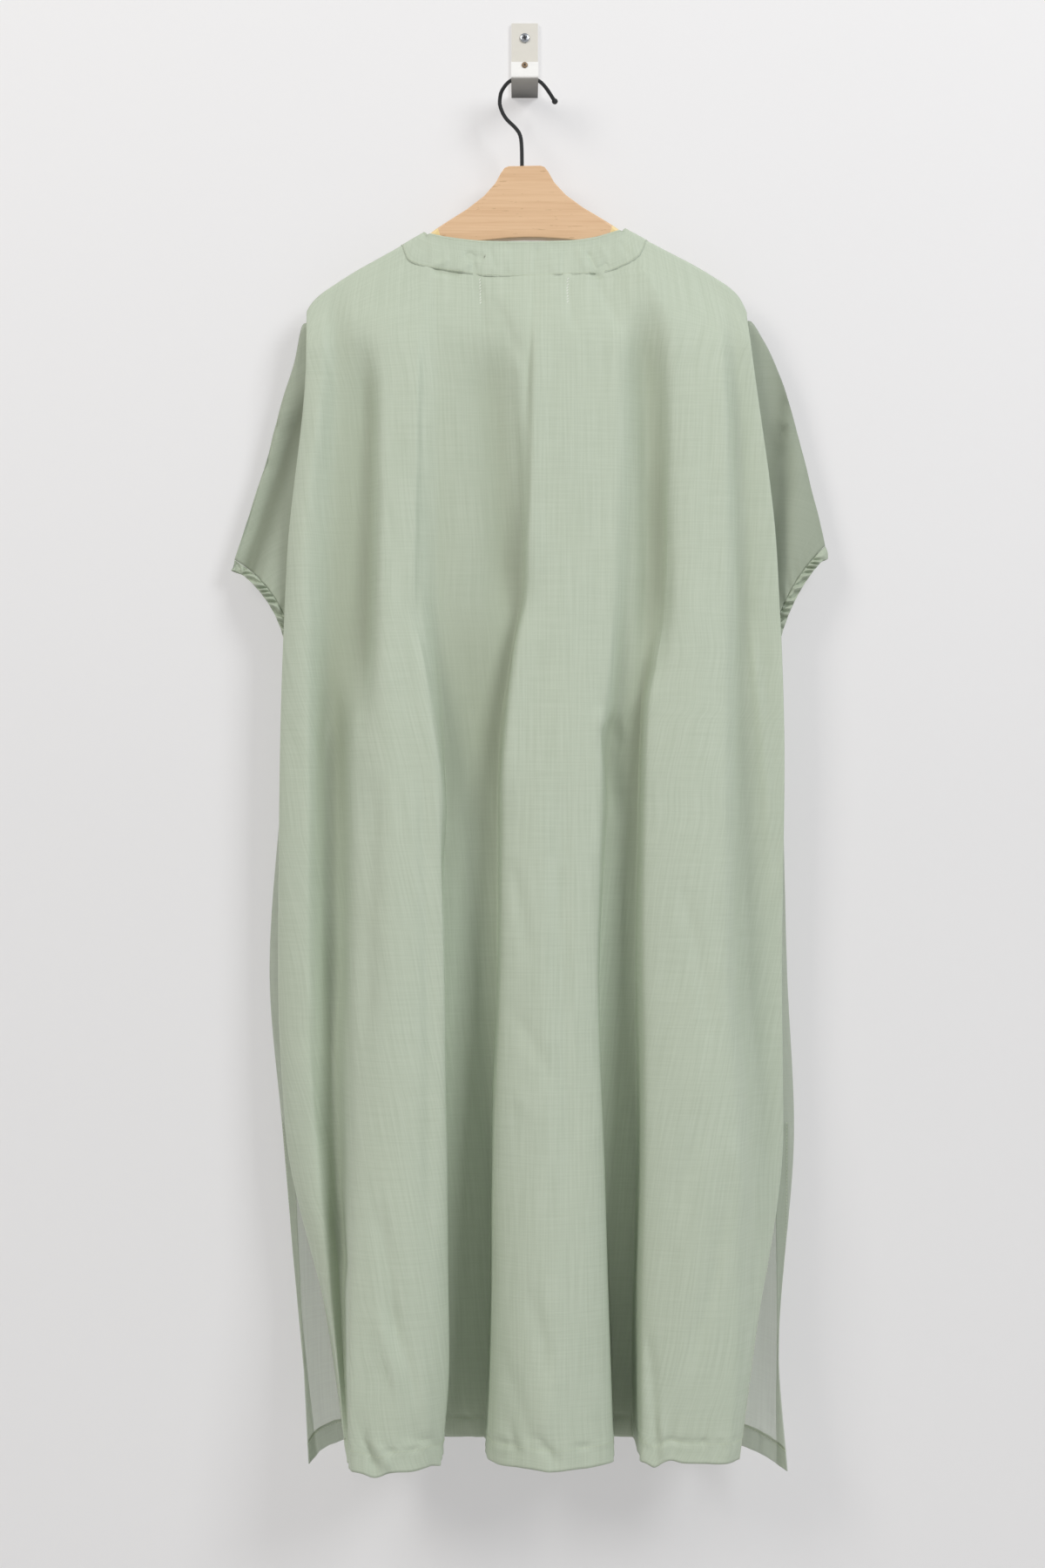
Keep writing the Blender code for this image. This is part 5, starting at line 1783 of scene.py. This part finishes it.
@dataclass
class Sleeve:
    """A sleeve with its gathered cuff."""

    side: str
    form: SleeveForm
    creases: Sequence[Crease]
    room: Workroom
    flat: Pair
    seed: int
    # Painted shade over the whole sleeve; more is painted along its lengthwise fold.
    shade: float = 0.44
    crease_rings: int = 8
    settle_rings: int = 14
    drawn_rings: float = 9.0
    drawn_rise: float = 0.8
    drawn_drift: Pair = (2.2, 9.0)
    # How fast the painted shade along the fold falls off outside and inside it.
    fold_outside: float = 5.5
    fold_inside: float = 15.0
    gathers: float = 26.0
    cuff_width: float = 8.0
    cuff_gap: float = 0.3
    cuff_rows: int = 16
    cuff_points: int = 480
    cuff_round: float = 1.1
    gather_depth: float = 2.8
    gather_slant: float = 0.8
    gather_uneven: float = 2.2
    corner_share: float = 0.1
    corner_rings: int = 5
    plain_share: float = 0.2
    fold_share: float = 0.1
    fold_pull: float = 0.35
    cuff_cut: Pair = (1.15, 1.6)

    def build(self) -> None:
        """Builds the sleeve and the cuff."""
        surface = self.form.surface()
        rings, count = surface.points.shape[:2]
        numbers = np.arange(rings)
        settled = ease(numbers / self.settle_rings)[:, None]
        room_side = np.zeros(count)
        room_side[1 : self.form.half_points - 1] = 1
        reach = ease(numbers / self.crease_rings)[:, None] * room_side[None, :]
        surface = creased(surface, self.creases, reach)
        hand = uneven(surface.cloth_map(), SLEEVE_HAND, self.seed) * settled
        near_cuff = np.exp(-(((rings - 1 - numbers) / self.drawn_rings) ** 2))[:, None]
        around = np.linspace(0, 1, count, endpoint=False)[None, :]
        drift = self.drawn_drift[0] * np.sin(self.drawn_drift[1] * around)
        drawn = np.sin(2 * math.pi * self.gathers * around + drift) * self.drawn_rise * near_cuff
        surface = refreshed(surface.moved(hand + drawn * np.sin(2 * math.pi * around) ** 2))
        name = "sleeve_" + self.side
        mesh = shell_mesh(name, surface, SEWING.cloth)
        # Painted shade: the sleeve darkens everywhere, and most along its lengthwise fold.
        near_fold = self.near_fold(surface.points)
        mark(mesh, "hollow_shade", settled * (self.shade + (1 - self.shade) * near_fold))
        obj = add_piece(name + "_cloth", mesh, self.room.sleeve)
        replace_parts(obj, name)
        surface.area()
        self.build_cuff(surface)

    def near_fold(self, points: np.ndarray) -> np.ndarray:
        """Args:
            points: the sleeve's points.
        Returns:
            1 on the line of the lengthwise fold, less beside it, and sooner on its outer side: how much painted shade
            the fold adds to the sleeve.
        """
        start, end = (np.array(place, float) for place in self.form.fold)
        run = unit(end - start)
        off = points[..., (0, 2)] - start
        outward = (off[..., 0] * run[1] - off[..., 1] * run[0]) * -np.sign(end[0])
        return np.exp(-((outward / np.where(outward > 0, self.fold_outside, self.fold_inside)) ** 2))

    def build_cuff(self, sleeve: Surface) -> None:
        """Args:
            sleeve: the sleeve's surface, whose last ring the cuff continues.
        """
        ring, normals = sleeve.points[-1], sleeve.normals[-1]
        closed, turned_normals = np.vstack([ring, ring[:1]]), np.vstack([normals, normals[:1]])
        lengths = np.concatenate([[0], np.cumsum(np.linalg.norm(np.diff(closed, axis=0), axis=1))])
        around = np.arange(self.cuff_points) / self.cuff_points
        wanted = around * lengths[-1]
        place, facing = (
            np.stack([np.interp(wanted, lengths, rows[:, axis]) for axis in range(3)], axis=1)
            for rows in (closed, turned_normals)
        )
        facing = unit(facing)
        away = self.form.away()
        turned = np.abs(wanted / lengths[-1] * 2 - 1)
        corner = np.exp(-(((1 - turned) / self.corner_share) ** 2))[:, None]
        edge = unit(ring[0] - sleeve.points[-1 - self.corner_rings, 0])
        edge = edge / float(edge @ away)
        outward = away + (edge - away) * corner
        shares = np.linspace(0, 1, self.cuff_rows)
        grid = place[None] + outward[None] * (self.cuff_gap + self.cuff_width * shares)[:, None, None]
        round_out = self.cuff_round * np.sin(math.pi * shares)[:, None, None]
        surface = Surface(grid + facing[None] * round_out, np.broadcast_to(facing, grid.shape).copy(), True)
        drawn = ease((1 - turned) / self.plain_share)
        drawn = drawn * (self.fold_pull + (1 - self.fold_pull) * ease(turned / self.fold_share))
        name = "cuff_" + self.side
        mesh = shell_mesh(name + "_plain", surface, SEWING.cloth)
        mark(mesh, "around", np.broadcast_to(around, grid.shape[:2]))
        mark(mesh, "across", np.broadcast_to(shares[:, None], grid.shape[:2]))
        mark(mesh, "facing", np.broadcast_to(facing * (1, -1, 1) * drawn[:, None], grid.shape))
        source = bpy.data.objects.new(name + "_plain", mesh)
        bpy.context.scene.collection.objects.link(source)
        # The cuff takes the darker copy of the cloth, a painted shade.
        values = {
            "Count": self.gathers, "Depth": self.gather_depth * MM, "Slant": self.gather_slant,
            "Uneven": self.gather_uneven, "Seed": self.seed, "Material": self.room.cuff,
        }
        obj = add_piece(name + "_cloth", self.room.gathers.run(source, name, values), None)
        obj.data.shade_smooth()
        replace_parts(obj, name)
        sizes = (float(lengths[-1]), self.cuff_width)
        flat = tuple(size * MM * share for size, share in zip(sizes, self.cuff_cut))


class Dress:
    """The whole garment."""

    def __init__(self) -> None:
        """Sets out the finishes and node trees."""
        self.room = Workroom()

    def build(self) -> None:
        """Builds the panels, facings, sleeves and cuffs."""
        room = self.room
        back_form = PanelForm(BACK_FOLDS, BACK_NECKLINE, Side.ROOM, 6)
        front_form = PanelForm(FRONT_FOLDS, FRONT_NECKLINE, Side.WALL, 7)
        back = Panel(
            "dress_back", back_form, BACK_CREASES, room, flat=(0.74, 1.17), seed=11, nodes=("dress_back",),
            cloth=room.cloth, dips=BACK_HEM_DIPS,
        )
        front = Panel(
            "dress_front", front_form, FRONT_CREASES, room, flat=(0.70, 1.18), seed=31, nodes=FRONT_NODES,
            cloth=room.sheer, dips=FRONT_HEM_DIPS,
        )
        for panel in (back, front):
            panel.build()
        NeckFacing("neck_facing_back", back, BACK_STRIP_LINE, NECK_CREASES, room, flat=(0.24, 0.036)).build()
        NeckFacing("neck_facing_front", front, FRONT_STRIP_LINE, (), room, flat=(0.29, 0.036)).build()
        self.label_stitches(back.surface)
        seams = back.surface.points[:, 0], back.surface.points[:, -1]
        left = SleeveForm(LEFT_SLEEVE_EDGE, LEFT_CUFF_CORNER, 13.0, LEFT_SLEEVE_FOLD, seams[0])
        right = SleeveForm(RIGHT_SLEEVE_EDGE, RIGHT_CUFF_CORNER, 9.0, RIGHT_SLEEVE_FOLD, seams[1])
        Sleeve("left", left, LEFT_SLEEVE_CREASES, room, flat=(0.54, 0.11), seed=51).build()
        Sleeve("right", right, RIGHT_SLEEVE_CREASES, room, flat=(0.54, 0.11), seed=61, shade=0.66).build()

    def label_stitches(self, cloth: Surface) -> None:
        """Args:
            cloth: the back panel, on which two short lines of thread hold the label inside.
        """
        paths = []
        heights = np.linspace(LABEL_STITCHES_TOP, LABEL_STITCHES_LOW, LABEL_STITCHES_POINTS)
        for across in LABEL_STITCHES_X:
            found = cloth.sample(*cloth.find(np.full_like(heights, across), heights))
            paths.append(world(found.moved(SEWING.cloth / 2 + SEWING.label_lift).points))
        self.room.sew("label_stitches", paths, Thread.LABEL, **LABEL_THREAD, seed=9)


FRONT_NODES = ("dress_front_upper", "dress_front_middle", "dress_front_lower")
# Across, rise, width: where the hems hang unevenly.
BACK_HEM_DIPS = (
    (-136, -3.0, 8), (-118, 1.5, 9), (-86, 3.0, 9), (-24, -1.5, 10), (26, -1.5, 12), (119, -4.5, 6),
    (134, 2.5, 7),
)
FRONT_HEM_DIPS = ((-150, 2.0, 16), (-60, -3.0, 20), (40, 2.5, 24), (160, -2.0, 16))

LABEL_STITCHES_X = (-42.3, 40.5)
LABEL_STITCHES_TOP, LABEL_STITCHES_LOW = -244.4, -267.0
LABEL_STITCHES_POINTS = 30

# From, to: the line of each sleeve's lengthwise fold, across and height.
LEFT_SLEEVE_FOLD = ((-203, -340), (-257, -487))
RIGHT_SLEEVE_FOLD = ((248, -375), (236, -485))

LEFT_SLEEVE_CREASES = crease_rows(
    (-240, -374, -226, -392, -1.5, 4.0), (-250, -412, -238, -424, -1.5, 4.0),
)

RIGHT_SLEEVE_CREASES = crease_rows(
    (249, -352, 247, -380, -1.2, 4.0), (247, -378, 246, -392, -2.2, 5.0),
)


# The hanger and the wall hook


@dataclass
class ScrewHead:
    """A low domed head with a cross recess. Sizes in millimetres, shares of the radius and the rise."""

    node: str
    centre: tuple[float, float, float]
    radius: float
    rise: float
    recess: float
    finish: MetalFinish
    # The near-black finish of the cross: painted shade in the recess.
    dark: MetalFinish
    gap: float = 0.3
    sides: int = 48
    cross_width: float = 0.3
    cross_turn: float = 0.28
    cross_top: float = 1.06
    cross_depth: float = 0.35

    def build(self) -> None:
        """Builds the head and the dark cross in it, which paints the shade inside the cross recess."""
        name = self.node + "_head"
        turn = 2 * math.pi * np.arange(self.sides) / self.sides
        rings = [
            self.ring(self.radius * size * np.cos(turn), self.radius * size * np.sin(turn), self.rise * share)
            for size, share in HEAD_PROFILE
        ]
        mesh = ring_mesh(name, rings)
        mesh.shade_smooth()
        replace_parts(add_piece(name, mesh, self.finish.build()), self.node)
        # Painted shade: a near-black cross stands in for the shade inside the recess.
        arm, width = self.radius * self.recess, self.radius * self.recess * self.cross_width
        quarter = np.array([(arm, width), (width, width), (width, arm)])
        outline = np.vstack([quarter, quarter[::-1] * (-1, 1), -quarter, quarter[::-1] * (1, -1)])
        cosine, sine = math.cos(self.cross_turn), math.sin(self.cross_turn)
        across, up = (outline @ np.array([(cosine, sine), (-sine, cosine)])).T
        top = self.rise * self.cross_top
        layers = [self.ring(across, up, at) for at in (top - self.cross_depth, top)]
        add_piece(name + "_recess", ring_mesh(name + "_recess", layers), self.dark.build())

    def ring(self, across: np.ndarray, up: np.ndarray, out: float) -> np.ndarray:
        """Args:
            across: places across from the head's centre.
            up: their heights above it.
            out: how far they stand off the head's seat.
        Returns:
            The points.
        """
        x, depth, z = self.centre
        return np.column_stack([x + across, np.full_like(across, depth + self.gap + out), z + up])


# Share of the radius, share of the rise: the dome from its rim to its middle.
HEAD_PROFILE = ((1.0, 0.0), (1.0, 0.4), (0.93, 0.62), (0.8, 0.8), (0.6, 0.93), (0.35, 1.0), (0.12, 1.02))


def ring_mesh(name: str, rings: Sequence[np.ndarray]) -> bpy.types.Mesh:
    """Args:
        name: the mesh's name.
        rings: closed rings of as many points each, in millimetres.
    Returns:
        A closed mesh through the rings.
    """
    mesh = bpy.data.meshes.new(name)
    bm = bmesh.new()
    made = [[bm.verts.new(point) for point in world(ring).tolist()] for ring in rings]
    for before, after in zip(made, made[1:]):
        for i in range(len(before)):
            j = (i + 1) % len(before)
            bm.faces.new((before[i], before[j], after[j], after[i]))
    bm.faces.new(made[0][::-1])
    bm.faces.new(made[-1])
    bmesh.ops.recalc_face_normals(bm, faces=bm.faces)
    bm.to_mesh(mesh)
    bm.free()
    return mesh


class Holder:
    """The hanger and the wall hook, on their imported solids."""

    def build(self) -> None:
        """Gives the solids their finishes and builds the screw heads."""
        finishes = {
            "hanger_wood": WoodFinish(),
            "hanger_hook": MetalFinish("black_coated_wire", (0.022, 0.024, 0.025), 0.42, 0.1),
            "wall_bracket": BarFinish(
                "bare_aluminium_bar", (0.78, 0.755, 0.69), 0.5, 0.3, marks=((60.0, 60.0, 900.0), 3.0)
            ),
        }
        for node, finish in finishes.items():
            mesh = frame["nodes"][node].data
            mesh.materials.clear()
            mesh.materials.append(finish.build())
            log.info("%s: finish %s", node, mesh.materials[0].name)
        # Painted shade: the near-black finish of each screw's cross recess.
        dark = MetalFinish("screw_recess_painted_shade", (0.03, 0.03, 0.035), 0.6, 0.3)
        zinc = MetalFinish("zinc_head", (0.55, 0.58, 0.62), 0.32, 0.9)
        brown = MetalFinish("brown_head", (0.30, 0.21, 0.13), 0.5, 0.4)
        ScrewHead("bracket_screw_upper", (0, 3.0, 0), 4.6, 1.8, 0.5, zinc, dark).build()
        ScrewHead("bracket_screw_lower", (0, 60.0, -44.9), 2.8, 1.0, 0.42, brown, dark).build()


# The room


@dataclass
class Lamp:
    """A soft area light."""

    name: str
    place: tuple[float, float, float]
    target: tuple[float, float, float]
    size: Pair
    watts: float
    colour: Colour

    def build(self) -> None:
        """Adds the light."""
        data = bpy.data.lights.new(self.name, "AREA")
        data.shape = "RECTANGLE"
        data.size, data.size_y = self.size
        data.energy = self.watts
        data.color = self.colour
        obj = bpy.data.objects.new(self.name, data)
        obj.location = self.place
        way = np.array(self.target) - np.array(self.place)
        obj.rotation_mode = "QUATERNION"
        obj.rotation_quaternion = Vector(way.tolist()).to_track_quat("-Z", "Y")
        bpy.context.scene.collection.objects.link(obj)


@dataclass
class Studio:
    """Wall, floor, lights and camera, in metres."""

    lamps: Sequence[Lamp] = (
        Lamp("key", (2.15, -2.6, 1.35), (0.0, 0.0, -0.55), (1.2, 1.6), 76.0, (0.97, 0.985, 1.0)),
        Lamp("fill", (-2.3, -2.45, 1.35), (0.0, 0.0, -0.55), (1.2, 1.6), 56.0, (1.0, 0.965, 0.91)),
    )
    ambient: Colour = (0.98, 0.985, 1.0)
    ambient_strength: float = 0.28
    half_width: float = 3.0
    wall_y: float = 0.0006
    wall_top: float = 1.6
    floor_z: float = -1.75
    floor_y: float = -3.4
    camera_place: tuple[float, float, float] = (-0.0021, -2.11, -0.7216)
    camera_lens: float = 50.0
    camera_sensor: float = 36.0

    def build(self) -> None:
        """Builds the room round the dress."""
        side, wall_y, low = self.half_width, self.wall_y, self.floor_z
        foot = ((side, wall_y, low), (-side, wall_y, low))
        # The wall glows with painted light, more toward the top.
        self.backdrop(
            "stage_wall", (*foot[::-1], (side, wall_y, self.wall_top), (-side, wall_y, self.wall_top)),
            StageFinish("wall_paint", (0.47, 0.47, 0.473), True, 0.345, 0.07),
        )
        self.backdrop(
            "stage_floor", ((-side, self.floor_y, low), (side, self.floor_y, low), *foot),
            StageFinish("floor_paint", (0.56, 0.55, 0.54)),
        )
        for lamp in self.lamps:
            lamp.build()
        room = bpy.data.worlds.new("room")
        room.use_nodes = True
        sky = room.node_tree.nodes["Background"]
        sky.inputs["Color"].default_value = (*self.ambient, 1.0)
        sky.inputs["Strength"].default_value = self.ambient_strength
        bpy.context.scene.world = room
        bpy.context.scene.view_settings.view_transform = "Standard"
        self.camera()

    def backdrop(self, name: str, corners: Sequence[tuple[float, float, float]], finish: StageFinish) -> None:
        """Args:
            name: the piece's name.
            corners: its four corners.
            finish: its finish.
        """
        mesh = bpy.data.meshes.new(name)
        mesh.from_pydata(corners, [], [(0, 1, 2, 3)])
        mesh.materials.append(finish.build())
        obj = bpy.data.objects.new(name, mesh)
        bpy.context.scene.collection.objects.link(obj)

    def camera(self) -> None:
        """Adds the camera at the photo's angle."""
        data = bpy.data.cameras.new("camera")
        data.sensor_fit = "VERTICAL"
        data.sensor_width = data.sensor_height = self.camera_sensor
        data.lens = self.camera_lens
        obj = bpy.data.objects.new("camera", data)
        obj.location = self.camera_place
        obj.rotation_euler = (math.pi / 2, 0.0, 0.0)
        bpy.context.scene.collection.objects.link(obj)
        bpy.context.scene.camera = obj


def main() -> None:
    """Builds the dress, its holder and the room."""
    logging.basicConfig(level=logging.INFO, format="%(message)s")
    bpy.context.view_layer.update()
    for obj in [obj for obj in bpy.data.objects if obj.name in {"Cube", "Light", "Camera"}]:
        bpy.data.objects.remove(obj)
    Dress().build()
    Holder().build()
    Studio().build()
    bpy.context.view_layer.update()


if __name__ == "__main__":
    main()
